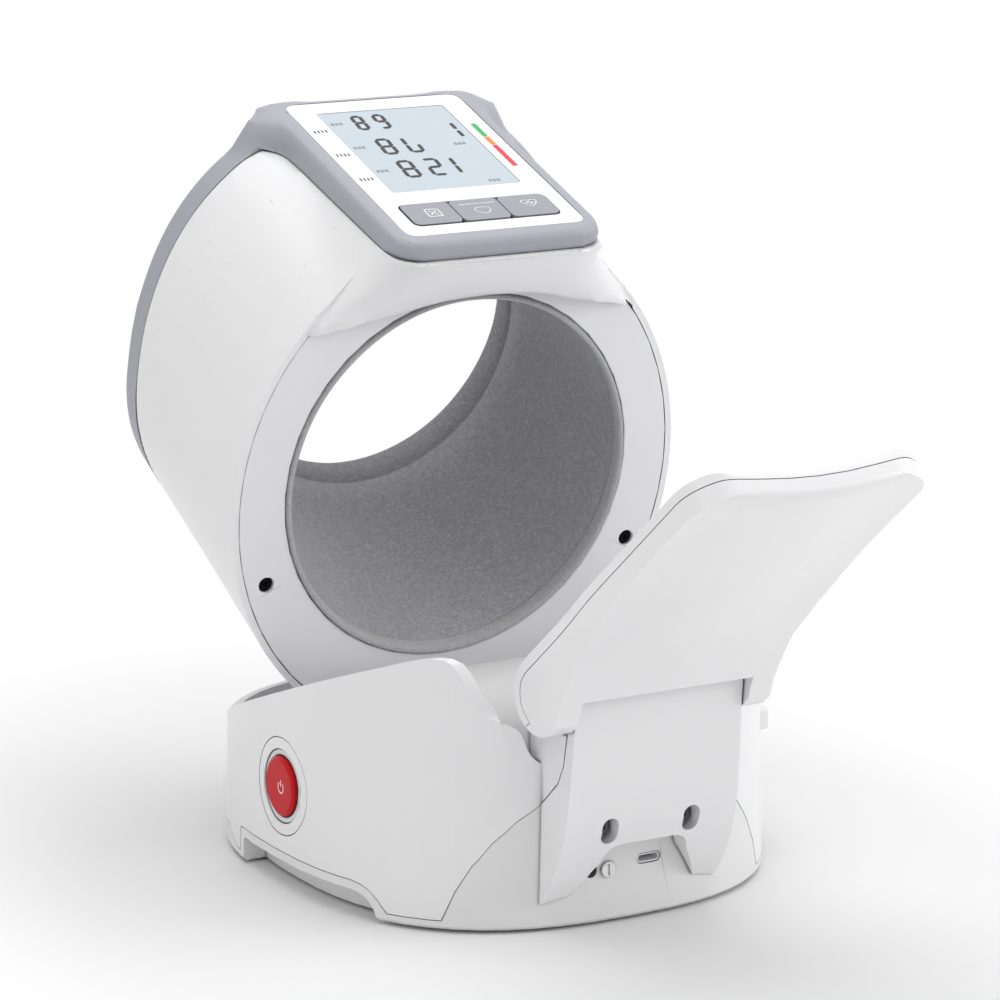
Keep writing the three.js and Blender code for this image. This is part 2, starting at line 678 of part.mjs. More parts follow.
// Knuckle of the barrel: a drum round the tilt shaft with a web and a flange against the face ring
const faceY = (z) => mouthY + (mouthZ - z) * Math.tan(faceLean);
function tiltKnuckle() {
  const drum = rod(drumRadius, [-drumHalfLength, tiltY, tiltZ], [drumHalfLength, tiltY, tiltZ], 48);
  const web = polygon([
    [tiltY, tiltZ - 6], [tiltY, tiltZ + 8], [faceY(tiltZ + 8) - 1, tiltZ + 8], [faceY(tiltZ - 6) - 1, tiltZ - 6]]);
  const flange = [0.3, 3.3].map((out) => [[-38, -92], [38, -92], [38, -77], [-38, -77]]
    .map(([x, w]) => inFace(0, x, w).addScaledVector(faceOut, out)));
  const bore = rod(tiltShaftRadius + gap, [-70, tiltY, tiltZ], [70, tiltY, tiltZ], 20);
  return cut(union(drum, prismX(web, -36, 36), loft(flange)), bore);
}

// Rest frame: a runs from the hinge towards the far end, b points out of the arm surface
const restAlong = new THREE.Vector2(-Math.cos(restElevation), Math.sin(restElevation));
const restUp = new THREE.Vector2(Math.sin(restElevation), Math.cos(restElevation));
const inRest = (a, b) => [
  restHingeY + a * restAlong.x + b * restUp.x,
  restHingeZ + a * restAlong.y + b * restUp.y,
];
const troughAt = (a) => THREE.MathUtils.smoothstep(a, 8, 62) * restTrough;
// A side outline of the rest, carried across the width and pressed into a shallow trough
function restSolid(outline, overhang = 1) {
  const points = outline.getPoints(4);
  if (points[0].distanceTo(points[points.length - 1]) < 1e-6) points.pop();
  const steps = [-4, -3, -2, -1, 0, 1, 2, 3, 4];
  return loft(steps.map((k) => points.map((p) => {
    const edge = Math.abs(k) === 4;
    const x = edge ? Math.sign(k) * (restHalfWidth + overhang) : (k / 3) * restTroughHalf;
    const hollow = edge ? 0 : (1 - (k / 3) ** 2) ** 1.25;
    const [y, z] = inRest(p.x, p.y - troughAt(p.x) * hollow);
    return new THREE.Vector3(x, y, z);
  })));
}
function restOutline() {
  const end = restLength;
  const root = restTop + gap;
  const s = new THREE.Shape();
  s.moveTo(-3, root);
  for (let a = 11; a <= end - 8; a += 14) {
    s.lineTo(a, root - 2 * gap * THREE.MathUtils.smoothstep(a, 0, 60));
  }
  s.lineTo(end - 3.4, root - 2 * gap);
  s.quadraticCurveTo(end, root - 2 * gap, end, restTop - 3.4);
  s.lineTo(end, restEndUnder + 3);
  s.quadraticCurveTo(end, restEndUnder, end - 4, restEndUnder);
  for (let a = end - 14; a > 90; a -= 12) s.lineTo(a, restEndUnder);
  s.bezierCurveTo(72, 1.3, 50, 0.3, 25, -4.2);
  s.bezierCurveTo(17, -6.7, 10, -9.3, 5, -11.7);
  s.quadraticCurveTo(2.6, -13.2, 0, -15.1);
  s.bezierCurveTo(-8, -16.6, -15, -12, -18, -6);
  s.bezierCurveTo(-21, 0, -19.5, 6, -14.5, 10);
  s.quadraticCurveTo(-10, root, -3, root);
  return s;
}
// Everything under the upper shell, which hooks round the rear end of the lobes
function underShell(clearance) {
  const level = restTop - upperShell - clearance;
  const past = restLength + 12;
  const s = new THREE.Shape();
  s.moveTo(-5, level);
  for (let a = 12; a < past; a += 13) s.lineTo(a, level);
  s.lineTo(past, level);
  s.lineTo(past, -40);
  s.lineTo(-40, -40);
  s.lineTo(-40, -7 - clearance);
  s.lineTo(-14.6 + clearance, -6 - clearance);
  s.bezierCurveTo(-17.4 + clearance, 0, -15.5 + clearance, 4, -12 + clearance, 7 - clearance);
  s.quadraticCurveTo(-9, level, -5, level);
  return restSolid(s, 5);
}
// Plan of the rest, narrower at its root and with rounded far corners, pushed through the thickness
function restPlan() {
  const end = restLength + 0.05;
  const bend = restLength - restCorner;
  const half = restHalfWidth;
  const plan = new THREE.Shape();
  plan.moveTo(-restRootHalf, -40);
  plan.lineTo(restRootHalf, -40);
  plan.lineTo(restRootHalf, 15);
  plan.bezierCurveTo(restRootHalf, 34, half, 40, half, 58);
  plan.lineTo(half, bend);
  plan.absarc(half - restCorner, bend, restCorner, 0, Math.PI / 2, false);
  plan.lineTo(-half + restCorner, end);
  plan.absarc(-half + restCorner, bend, restCorner, Math.PI / 2, Math.PI, false);
  plan.lineTo(-half, 58);
  plan.bezierCurveTo(-half, 40, -restRootHalf, 34, -restRootHalf, 15);
  const matrix = () => new THREE.Matrix4().makeBasis(
    new THREE.Vector3(1, 0, 0),
    new THREE.Vector3(0, restAlong.x, restAlong.y),
    new THREE.Vector3(0, -restUp.x, -restUp.y),
  ).setPosition(0, restHingeY, restHingeZ);
  return prism(plan, -40, 40, matrix, 5);
}
// Room between the lobes for the bracket and its knuckle, through the whole fold
function restNotchCut() {
  const shape = new THREE.Shape();
  shape.moveTo(7.5, -30);
  shape.lineTo(7.5, -2);
  shape.absarc(0, 0, restKnuckle + 0.6, -0.2, Math.PI / 2, false);
  shape.lineTo(-12, restKnuckle + 1.2);
  shape.lineTo(-40, restKnuckle + 1.2);
  shape.lineTo(-40, -30);
  return loft([-restNotch, restNotch].map((x) => shape.getPoints(6).map((p) => {
    const [y, z] = inRest(p.x, p.y);
    return new THREE.Vector3(x, y, z);
  })));
}
const hingeRod = (radius, half, sides = 20) =>
  rod(radius, [-half, restHingeY, restHingeZ], [half, restHingeY, restHingeZ], sides);

// Bracket in side view: a slim plate from the rest knuckle down to two legs against the base
function bracketBody() {
  const front = [[-113.4, 82.7], [-112.8, 78.8], [-111.6, 63.7], [-109.6, 45.4], [-106.3, 31.4], [-98.5, 16.1], [-92.5, 9.5]];
  const curve = new THREE.SplineCurve(front.map(([y, z]) => new THREE.Vector2(y, z))  ).getPoints(10);
  const side = new THREE.Shape();
  side.moveTo(restHingeY + restKnuckle, restHingeZ);
  side.absarc(restHingeY, restHingeZ, restKnuckle, 0, Math.PI, false);
  curve.forEach((p) => side.lineTo(p.x, p.y));
  side.lineTo(-80, 8.5);
  side.lineTo(-80, 36);
  side.lineTo(-87.1, 39.8);
  side.lineTo(-102.8, 54.3);
  side.lineTo(-106.1, 61.1);
  side.lineTo(-108.2, 72.9);
  side.lineTo(-105.4, 78);
  side.lineTo(-101.9, 84.4);
  const face = polygon([
    [-bracketFootHalf, 0], [bracketFootHalf, 0], [bracketTopHalf + 0.4, 72], [bracketTopHalf, 110],
    [-bracketTopHalf, 110], [-bracketTopHalf - 0.4, 72]]);
  const between = new THREE.Shape();
  const foot = legGapHalf + legFlare;
  between.moveTo(-foot, 4);
  between.quadraticCurveTo(-legGapHalf - 5, legGapTop - 10, -legGapHalf - 2, legGapTop - 6);
  between.quadraticCurveTo(-legGapHalf - 1, legGapTop, -legGapHalf + 5, legGapTop);
  between.lineTo(legGapHalf - 5, legGapTop);
  between.quadraticCurveTo(legGapHalf + 1, legGapTop, legGapHalf + 2, legGapTop - 6);
  between.quadraticCurveTo(legGapHalf + 5, legGapTop - 10, foot, 4);
  const screws = [-1, 1].flatMap((k) => [
    moved(prismY(roundedRectangle(2.9 + gap, -screwSlotHalf, screwSlotHalf, 2.9 + gap), -120, -100.5, 6),
      k * bracketScrewSpan, 0, bracketScrewZ),
    rod(1.9, [k * bracketScrewSpan, -120, bracketScrewZ], [k * bracketScrewSpan, -80, bracketScrewZ], 16),
  ]);
  return cut(
    common(prismX(side, -50, 50, 7), prismY(face, -130, -60)),
    prismY(between, -130, -60, 4),
    baseTall(-0.4, -2, 110),
    hingeRod(restHingePin + gap, 60),
    ...screws,
  );
}

function screw(headRadius, headDepth, shankRadius, from, to) {
  const a = new THREE.Vector3(...from);
  const b = new THREE.Vector3(...to);
  const along = b.clone().sub(a).normalize();
  const seat = a.clone().addScaledVector(along, headDepth);
  const slotEnd = a.clone().addScaledVector(along, headDepth * 0.5);
  const socket = a.clone().addScaledVector(along, -1);
  return cut(
    union(rod(headRadius, a.toArray(), seat.toArray(), 14), rod(shankRadius, a.toArray(), b.toArray(), 8)),
    rod(headRadius * 0.42, socket.toArray(), slotEnd.toArray(), 6),
  );
}

const monitor = new THREE.Group();
const base = new THREE.Group();
const barrel = new THREE.Group();
const display = new THREE.Group();
const rest = new THREE.Group();
monitor.add(base, barrel, display, rest);
function add(group, name, body, material) {
  const object = new THREE.Mesh(geometryOf(body), material);
  object.name = name;
  group.add(object);
}

// Base assembly
const wallAt = baseHalfWidth - startZ * Math.tan(baseDraft);
const startRod = (radius, x0, x1, sides = 32) => rod(radius, [-x0, startY, startZ], [-x1, startY, startZ], sides);
const shaftHole = rod(tiltShaftRadius + gap, [-70, tiltY, tiltZ], [70, tiltY, tiltZ], 20);
const screwPlaces = [[-40, -72], [40, -72], [-46, 80], [46, 80]];
const footPlaces = [[-56, -60], [56, -60], [-56, 62], [56, 62]];
const floorTop = footHeight + trayFloor;
const doorHalf = 33;
const doorFront = 21;
const doorThickness = 1.8;
const releaseY = -40;
const releaseZ = 45.7;
const releaseHalf = 3.2;
const releaseTall = 4.1;
const releaseProud = 2.6;
const releaseCorner = 1.5;
const bossTop = (y) => (y < 0 ? deckBack + ((-5 - y) * (deckFront - deckBack)) / 79 - 1 : tubFloor - 1);
const bosses = screwPlaces.map(([x, y]) => rod(3.6, [x, y, floorTop + gap], [x, y, bossTop(y)], 12));
const bossHoles = screwPlaces.map(([x, y]) => rod(1.5, [x, y, 0], [x, y, 14], 10));
const shellBody = baseShell();
const releaseTab = (grow, x0, x1) => moved(prismX(roundedRectangle(
  releaseHalf + grow, -releaseTall - grow, releaseTall + grow, releaseCorner + grow), x0, x1, 4), 0, releaseY, releaseZ);
add(base, "base_cover", cut(
  union(cut(shellBody, trayRegion(gap)), cheek(-1), cheek(1), ...bosses),
  ...bossHoles, shaftHole, startRod(startBezelRadius + gap, 100, 80), sideRecess(sideRecessBand + gap),
  releaseTab(gap, 70, 110)), white());

const socketHole = (x, z, radius) => rod(radius, [x, -110, z], [x, -80, z], 20);
const usbOutline = (grow) => {
  const outline = roundedRectangle(4.45 + grow, usbSocketZ - 1.6 - grow, usbSocketZ + 1.6 + grow, 1.6 + grow);
  return outline;
};
const usbPrism = (grow, y0, y1) => moved(prismY(usbOutline(grow), y0, y1, 6), usbSocketX, 0, 0);
const doorSlot = union(
  block(-doorHalf - gap, doorHalf + gap, doorFront - gap, 130, -1, footHeight + doorThickness + gap),
  block(-doorHalf - 2 - gap, doorHalf + 2 + gap, doorFront - gap, 130, footHeight + 0.7, footHeight + doorThickness + gap),
  block(-doorHalf + 2, doorHalf - 2, doorFront + 3, 79, 0, floorTop + 2),
);
add(base, "base_tray", cut(
  union(
    common(shellBody, trayRegion(0)),
    cut(common(sideRecess(sideRecessBand), baseTall(0.6, footHeight + 1.2, 30)), baseTall(60, 0, 40)),
  ),
  sideRecess(0), doorSlot,
  ...screwPlaces.map(([x, y]) => rod(1.8, [x, y, -1], [x, y, 12], 12)),
  ...screwPlaces.map(([x, y]) => rod(3.3, [x, y, -1], [x, y, footHeight + 1.4], 16)),
  ...footPlaces.map(([x, y]) => rod(footRadius + gap, [x, y, -1], [x, y, footHeight + 1], 20)),
  ...[-1, 1].map((k) => socketHole(k * bracketScrewSpan, bracketScrewZ, 1.9)),
  socketHole(powerSocketX, socketZ, powerSocketRadius + gap), socketHole(portPlugX, socketZ, 2.2), usbPrism(gap, -110, -80),
), satin());

footPlaces.forEach(([x, y], i) => add(base, `foot_${i + 1}`,
  rod(footRadius, [x, y, 0], [x, y, footHeight + 0.8], 20), rubber()));
screwPlaces.forEach(([x, y], i) => add(base, `base_screw_${i + 1}`,
  screw(2.9, 1.1, 1.3, [x, y, footHeight + 0.1], [x, y, 11]), steel()));
add(base, "battery_door", common(
  union(
    block(-doorHalf, doorHalf, doorFront, 130, footHeight, footHeight + doorThickness),
    block(-doorHalf - 2, doorHalf + 2, doorFront, 130, footHeight + 1, footHeight + doorThickness)),
  loft([baseRing(footHeight, 1.2), baseRing(footHeight + 1.2), baseRing(12)])), satin());

const cellRadius = 7.1;
const cellPitch = 15;
for (let i = 0; i < 4; i++) {
  const x = (i - 1.5) * cellPitch;
  const z = floorTop - 0.4 + cellRadius;
  add(base, `battery_cell_${i + 1}`, union(
    rod(cellRadius, [x, 25.5, z], [x, 74.5, z], 20),
    rod(2.7, [x, i % 2 ? 24.5 : 74, z], [x, i % 2 ? 26 : 75.5, z], 12)), cell());
}
[["front", 23.4], ["rear", 75.9]].forEach(([name, y]) => add(base, `battery_contact_${name}`,
  block(-2 * cellPitch, 2 * cellPitch, y, y + 0.7, floorTop + 0.3, floorTop + 13), steel()));

add(base, "main_board", block(-34, 34, -66, -12, floorTop + 0.3, floorTop + 1.9), circuit());
add(base, "air_pump", union(
  rod(12, [-24, -48, floorTop + 14.5], [14, -48, floorTop + 14.5], 32),
  rod(9, [14, -48, floorTop + 14.5], [26, -48, floorTop + 14.5], 24),
  rod(2, [26, -48, floorTop + 18], [32, -48, floorTop + 18], 12)), black());
add(base, "exhaust_valve", union(
  block(-14, 6, -30, -18, floorTop + 2.2, floorTop + 14),
  rod(2, [6, -24, floorTop + 8], [12, -24, floorTop + 8], 12)), black());

add(base, "tilt_shaft", rod(tiltShaftRadius,
  [-drumHalfLength - 7, tiltY, tiltZ], [drumHalfLength + 7, tiltY, tiltZ], 20), steel());
[-1, 1].forEach((k) => add(base, k < 0 ? "friction_washer_left" : "friction_washer_right", cut(
  rod(14, [k * (drumHalfLength + gap), tiltY, tiltZ], [k * (drumHalfLength + gap + washerThickness), tiltY, tiltZ], 20),
  shaftHole), black()));

const skinNear = (inset) => baseTall(inset, 0, 90);
add(base, "start_bezel", cut(
  union(
    common(startRod(startBezelRadius, 100, 76), skinNear(0)),
    common(startRod(startBezelRadius + 1.6, 100, 80), skinNear(wall + gap))),
  startRod(ringRadius + gap, 110, 70)), white());
add(base, "start_light_ring", cut(
  common(startRod(ringRadius, 100, 78), skinNear(0.5)), startRod(startRadius + gap, 110, 70)), lightRing());
add(base, "start_board", union(
  startRod(14, 76 - gap, 74, 24), startRod(3, 78, 75, 10)), circuit());
add(base, "start_button", common(
  startRod(startRadius, wallAt + 1, 79.6), union(startRod(startRadius, wallAt + 0.2, 70),
    rod(startRadius, [-wallAt, startY, startZ], [-wallAt - 1, startY, startZ], 32, startRadius - 1.2))), red());
add(base, "tilt_release", releaseTab(0, wallAt - 12, wallAt + releaseProud), white());

const panelSkin = (inset) => baseTall(inset, 0, 60);
add(base, "power_socket", cut(
  common(socketHole(powerSocketX, socketZ, powerSocketRadius), panelSkin(0.3)), rod(powerSocketRadius - 0.9, [powerSocketX, -110, socketZ],
    [powerSocketX, -86, socketZ], 16)), black());
add(base, "port_plug", cut(
  union(
    rod(1.9, [portPlugX, -97, socketZ], [portPlugX, -88, socketZ], 12),
    rod(2.7, [portPlugX, -97.2, socketZ], [portPlugX, -96.5, socketZ], 20)),
  block(portPlugX - 0.3, portPlugX + 0.3, -98, -96.8, socketZ - 2, socketZ + 2)), white());
add(base, "usb_socket", cut(
  common(usbPrism(0, -110, -86), panelSkin(0.3)), usbPrism(-0.5, -110, -90)), white());

add(base, "bracket", bracketBody(), white());
[-1, 1].forEach((k) => add(base, k < 0 ? "bracket_screw_left" : "bracket_screw_right",
  screw(2.9, 2, 1.5, [k * bracketScrewSpan, -102.8, bracketScrewZ], [k * bracketScrewSpan, -86, bracketScrewZ]), steel()));

// Barrel assembly
const boreStart = faceRingThickness + gap;
const boreEnd = barrelLength - wall - 0.2 - gap;
const tube = (inner, outer, t0, t1) => cut(tunnelLoft(outer, t0, t1), tunnelLoft(inner, t0 - 5, t1 + 5));
add(barrel, "barrel_shell", barrelShell(), white());
add(barrel, "face_ring", faceRing(), white());
add(barrel, "rear_cover", rearCover(), grey());
add(barrel, "fabric_liner", tube(-gap - linerThickness, -gap, -0.8, barrelLength + 1), fabric());
add(barrel, "air_bladder", tube(0.2, bladderThickness, boreStart, boreEnd), rubber());
add(barrel, "cuff_core", tube(bladderThickness + gap, bladderThickness + gap + coreWall, boreStart, boreEnd), satin());
add(barrel, "tilt_knuckle", tiltKnuckle(), white());
[-1, 1].forEach((k) => {
  const at = (out) => inFace(0, k * (faceScrewPlace), -faceScrewDrop)
    .addScaledVector(faceOut, out).toArray();
  add(barrel, k < 0 ? "face_screw_left" : "face_screw_right", screw(2.6, 1.4, 1.2, at(-1.2), at(-9)), steel());
});

// Display assembly, on the barrel
const keyCentres = [-keyWidth - 0.4, 0, keyWidth + 0.4];
const keyOutline = (centre, grow) => {
  const outline = roundedRectangle(keyWidth / 2 + grow, keyStripStart - grow, keyStripStart + keyLength + grow, 2.4 + grow);
  return outline;
};
const keyPrism = (centre, grow, z0, z1) => {
  const body = inDisplay(keyOutline(centre, grow), z0, z1, 4);
  return moved(body, centre, 0, 0);
};
add(display, "display_panel", cut(
  inDisplay(roundedRectangle(panelHalfWidth, 0, panelLength, 3.2), -panelThickness, -0.1),
  inDisplay(roundedRectangle(1.5 * keyWidth + 1, keyStripStart - 0.6, keyStripStart + keyLength + 0.6, 3), -9, 9),
  inDisplay(roundedRectangle(lcdHalfWidth, lcdStart, lcdStart + lcdLength, 1.5), -9, 9, 3)), white());
add(display, "lcd_window", inDisplay(
  roundedRectangle(lcdHalfWidth - 0.1, lcdStart + 0.1, lcdStart + lcdLength - 0.1, 1.4), -1.6, -0.3, 3), glassy());
keyCentres.forEach((centre, i) => add(display, `key_${i + 1}`, keyPrism(centre, 0, -3, 0.25), keyGrey()));
add(display, "lcd_module",
  inDisplay(roundedRectangle(lcdHalfWidth + 2, lcdStart - 2, lcdStart + lcdLength + 2, 1), -4.6, -2.1, 2), glassy());
add(display, "display_board", union(
  inDisplay(roundedRectangle(panelHalfWidth - 4, 4, panelLength - 4, 2), -6.5, -4.9, 2),
  ...keyCentres.map((centre) => moved(
    inDisplay(roundedRectangle(3, keyStripStart + 4.5, keyStripStart + 10.5, 1), -5.5, -3.9, 1), centre, 0, 0))), circuit());

// Elbow rest assembly
const notch = restNotchCut();
const pinHole = hingeRod(restHingePin + gap, restRootHalf - wall + gap);
const restBody = cut(common(restSolid(restOutline()), restPlan()), notch, pinHole);
add(rest, "rest_upper_shell", cut(restBody, underShell(0)), white());
add(rest, "rest_lower_shell", common(restBody, underShell(gap)), white());
add(rest, "rest_hinge_pin", hingeRod(restHingePin, restRootHalf - wall), steel());

// The model's origin is under the middle of its box, on the surface that it stands on
monitor.updateMatrixWorld(true);
const box = new THREE.Box3().setFromObject(monitor);
const middle = box.getCenter(new THREE.Vector3());
monitor.position.set(-middle.x, -middle.y, -box.min.z);

export default monitor;
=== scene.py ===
"""Looks, camera and studio of an arm-in blood pressure monitor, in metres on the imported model's frame."""

import logging
import math
from dataclasses import dataclass
from enum import Enum
from typing import Any, Callable, Sequence

import bmesh
import bpy
import numpy as np
from mathutils import Matrix, Vector
from mathutils.bvhtree import BVHTree
from mathutils.kdtree import KDTree


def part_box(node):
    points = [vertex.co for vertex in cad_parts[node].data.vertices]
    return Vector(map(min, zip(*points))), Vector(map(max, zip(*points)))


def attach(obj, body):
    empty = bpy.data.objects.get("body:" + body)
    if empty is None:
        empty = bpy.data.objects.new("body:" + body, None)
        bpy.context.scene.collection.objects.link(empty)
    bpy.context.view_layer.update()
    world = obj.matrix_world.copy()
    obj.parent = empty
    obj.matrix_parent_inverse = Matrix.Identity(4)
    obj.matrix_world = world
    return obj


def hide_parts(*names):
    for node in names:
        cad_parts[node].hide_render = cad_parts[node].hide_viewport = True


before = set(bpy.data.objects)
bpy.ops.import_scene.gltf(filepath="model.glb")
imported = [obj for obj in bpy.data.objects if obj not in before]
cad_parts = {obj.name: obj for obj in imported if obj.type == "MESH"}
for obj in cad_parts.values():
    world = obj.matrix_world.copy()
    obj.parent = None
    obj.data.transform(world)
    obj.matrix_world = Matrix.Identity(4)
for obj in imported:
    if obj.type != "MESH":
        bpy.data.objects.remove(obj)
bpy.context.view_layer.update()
LOG = logging.getLogger("monitor")
MM = 0.001
Colour = tuple[float, float, float]
Spot = tuple[float, float]


def linear(colour: Colour) -> tuple[float, float, float, float]:
    """A colour as the shader wants it, by the usual curve of a screen.

    Args:
        colour: Red, green and blue as a screen shows them, from 0 to 1.

    Returns:
        Linear red, green and blue, and 1 for alpha.
    """
    return tuple(c / 12.92 if c <= 0.04045 else ((c + 0.055) / 1.055) ** 2.4 for c in colour) + (1.0,)


def shaded(colour: Colour, share: float) -> Colour:
    """The colour with red, green and blue taken to a share."""
    return tuple(c * share for c in colour)


class Wire:
    """A shader socket that takes part in arithmetic."""

    def __init__(self, graph: "Graph", socket: bpy.types.NodeSocket) -> None:
        """Keeps the socket and the graph that it belongs to."""
        self.graph = graph
        self.socket = socket

    def _math(self, operation: str, first: Any, second: Any) -> "Wire":
        """A Math node on two values."""
        return self.graph.node("ShaderNodeMath", {"operation": operation}, {0: first, 1: second})

    def __add__(self, other: Any) -> "Wire":
        """The sum."""
        return self._math("ADD", self, other)

    __radd__ = __add__

    def __sub__(self, other: Any) -> "Wire":
        """The difference."""
        return self._math("SUBTRACT", self, other)

    def __rsub__(self, other: Any) -> "Wire":
        """The difference the other way round."""
        return self._math("SUBTRACT", other, self)

    def __mul__(self, other: Any) -> "Wire":
        """The product."""
        return self._math("MULTIPLY", self, other)

    __rmul__ = __mul__

    def __gt__(self, other: Any) -> "Wire":
        """1 where it is more than the other value."""
        return self._math("GREATER_THAN", self, other)


class Graph:
    """A node tree that is filled one node at a time."""

    def __init__(self, tree: bpy.types.NodeTree) -> None:
        """Empties the tree."""
        self.tree = tree
        self.tree.nodes.clear()

    def node(self, kind: str, settings: dict[str, Any], sockets: dict[Any, Any], out: Any = 0) -> Wire:
        """Adds any node.

        Args:
            kind: The node's type.
            settings: Its properties; "stops" fills a ramp with (place, colour) pairs.
            sockets: A value or a Wire for each named or numbered input.
            out: The output that the Wire stands for.

        Returns:
            That output.
        """
        made = self.tree.nodes.new(kind)
        for key, value in settings.items():
            if key != "stops":
                setattr(made, key, value)
                continue
            while len(made.color_ramp.elements) < len(value):
                made.color_ramp.elements.new(0.5)
            for element, (place, colour) in zip(made.color_ramp.elements, value):
                element.position = place
                element.color = colour
        for key, value in sockets.items():
            if isinstance(value, Wire):
                self.tree.links.new(value.socket, made.inputs[key])
            else:
                made.inputs[key].default_value = value
        return Wire(self, made.outputs[out] if len(made.outputs) else None)

    def place(self) -> Wire:
        """The point on the object, in the row frame."""
        return self.node("ShaderNodeTexCoord", {}, {}, "Object")

    def noise(self, size: float, detail: float = 2.0, roughness: float = 0.5) -> Wire:
        """Noise with features of a size.

        Args:
            size: The width of a feature in millimetres.
            detail: The octaves.
            roughness: How strong the fine octaves are.

        Returns:
            A value from 0 to 1.
        """
        sockets = {"Vector": self.place(), "Scale": 1 / (size * MM), "Detail": detail, "Roughness": roughness}
        return self.node("ShaderNodeTexNoise", {}, sockets)

    def blend(self, factor: Any, first: Any, second: Any) -> Wire:
        """A colour between two colours."""
        return self.node("ShaderNodeMix", {"data_type": "RGBA"}, {0: factor, 6: first, 7: second}, 2)

    def openness_for_painted_shade(self, reach: float) -> Wire:
        """1 on an open surface and near 0 inside a seam; it sets where shade is painted into the colour.

        Args:
            reach: How far away a facing wall still counts, in millimetres.

        Returns:
            The share of the surroundings that is open.
        """
        return self.node("ShaderNodeAmbientOcclusion", {"samples": 4}, {"Distance": reach * MM}, "AO")

    def relief(self, height: Wire, depth: float) -> Wire:
        """The normal of a fine relief.

        Args:
            height: A value from 0 to 1.
            depth: The relief's depth in millimetres.

        Returns:
            The bumped normal.
        """
        sockets = {"Strength": 1.0, "Distance": depth * MM, "Height": height}
        return self.node("ShaderNodeBump", {}, sockets)


class Skin(Graph):
    """The node graph of one material."""

    def __init__(self, name: str) -> None:
        """Makes an empty node material.

        Args:
            name: The material's name.
        """
        self.material = bpy.data.materials.new(name)
        self.material.use_nodes = True
        super().__init__(self.material.node_tree)

    def close(self, shader: Wire) -> bpy.types.Material:
        """Joins the shader to the output and gives the material."""
        self.node("ShaderNodeOutputMaterial", {}, {"Surface": shader})
        return self.material

    def surface(self, sockets: dict[str, Any]) -> bpy.types.Material:
        """Closes the graph with one plain surface shader."""
        return self.close(self.node("ShaderNodeBsdfPrincipled", {}, sockets))


@dataclass(frozen=True)
class Moulded:
    """Moulded plastic: a colour that drifts a little, a fine spark-eroded grain, uneven gloss and painted shade in
    seams and corners.

    Attributes:
        name: The material's name.
        colour: The colour as a screen shows it.
        rough: The mean roughness.
        uneven: How far the roughness spreads.
        drift: How much darker the dark patches are.
        patch: The width of a patch in millimetres.
        grain: The width of a grain in millimetres.
        grain_share: How strongly the grain colours the surface.
        depth: The grain's depth in millimetres.
        wear: The width of a duller spot in millimetres.
        coat: The weight of the clear coat.
        coat_rough: The coat's roughness.
        bend: The index of refraction.
        painted_shade_reach: The width of a gap where shade is painted into the colour, in millimetres.
        painted_shade_tone: The share of the colour that is left in that painted shade.
    """

    name: str
    colour: Colour
    rough: float = 0.34
    uneven: float = 0.06
    drift: float = 0.02
    patch: float = 38.0
    grain: float = 0.35
    grain_share: float = 0.25
    depth: float = 0.008
    wear: float = 12.0
    coat: float = 0.0
    coat_rough: float = 0.12
    bend: float = 1.49
    painted_shade_reach: float = 1.4
    painted_shade_tone: float = 0.4

    def make(self) -> bpy.types.Material:
        """Makes the node material.

        Returns:
            The material.
        """
        g = Skin(self.name)
        dark = linear(shaded(self.colour, 1 - self.drift))
        grain = g.noise(self.grain, 3, 0.6)
        tone = g.blend(g.noise(self.patch, 3), dark, linear(self.colour))
        tone = g.blend(grain * self.grain_share, tone, dark)
        # Painted shade: seams and corners, where ambient occlusion is low, take a darker share of the colour.
        tone = g.blend(g.openness_for_painted_shade(self.painted_shade_reach), linear(shaded(self.colour, self.painted_shade_tone)), tone)
        rough = g.noise(self.wear, 4, 0.6) * self.uneven + (self.rough - self.uneven / 2)
        return g.surface({"Base Color": tone, "Roughness": rough, "Normal": g.relief(grain, self.depth),
                          "IOR": self.bend, "Coat Weight": self.coat, "Coat Roughness": self.coat_rough})


@dataclass(frozen=True)
class Metal:
    """Zinc-plated or ground steel with turning marks and small blotches.

    Attributes:
        name: The material's name.
        colour: The colour as a screen shows it.
        rough: The mean roughness.
        uneven: How far the roughness spreads.
        dull: The share of the colour that is left in a blotch.
        blotch: The width of a blotch in millimetres.
        turning: The width of a turning mark in millimetres.
        depth: The marks' depth in millimetres.
    """

    name: str
    colour: Colour = (0.72, 0.73, 0.75)
    rough: float = 0.3
    uneven: float = 0.14
    dull: float = 0.82
    blotch: float = 2.5
    turning: float = 0.25
    depth: float = 0.01

    def make(self) -> bpy.types.Material:
        """Makes the node material.

        Returns:
            The material.
        """
        g = Skin(self.name)
        blotch = g.noise(self.blotch, 4, 0.6)
        tone = g.blend(blotch, linear(self.colour), linear(shaded(self.colour, self.dull)))
        rough = blotch * self.uneven + (self.rough - self.uneven / 2)
        return g.surface({"Base Color": tone, "Metallic": 1.0, "Roughness": rough,
                          "Normal": g.relief(g.noise(self.turning, 2), self.depth)})


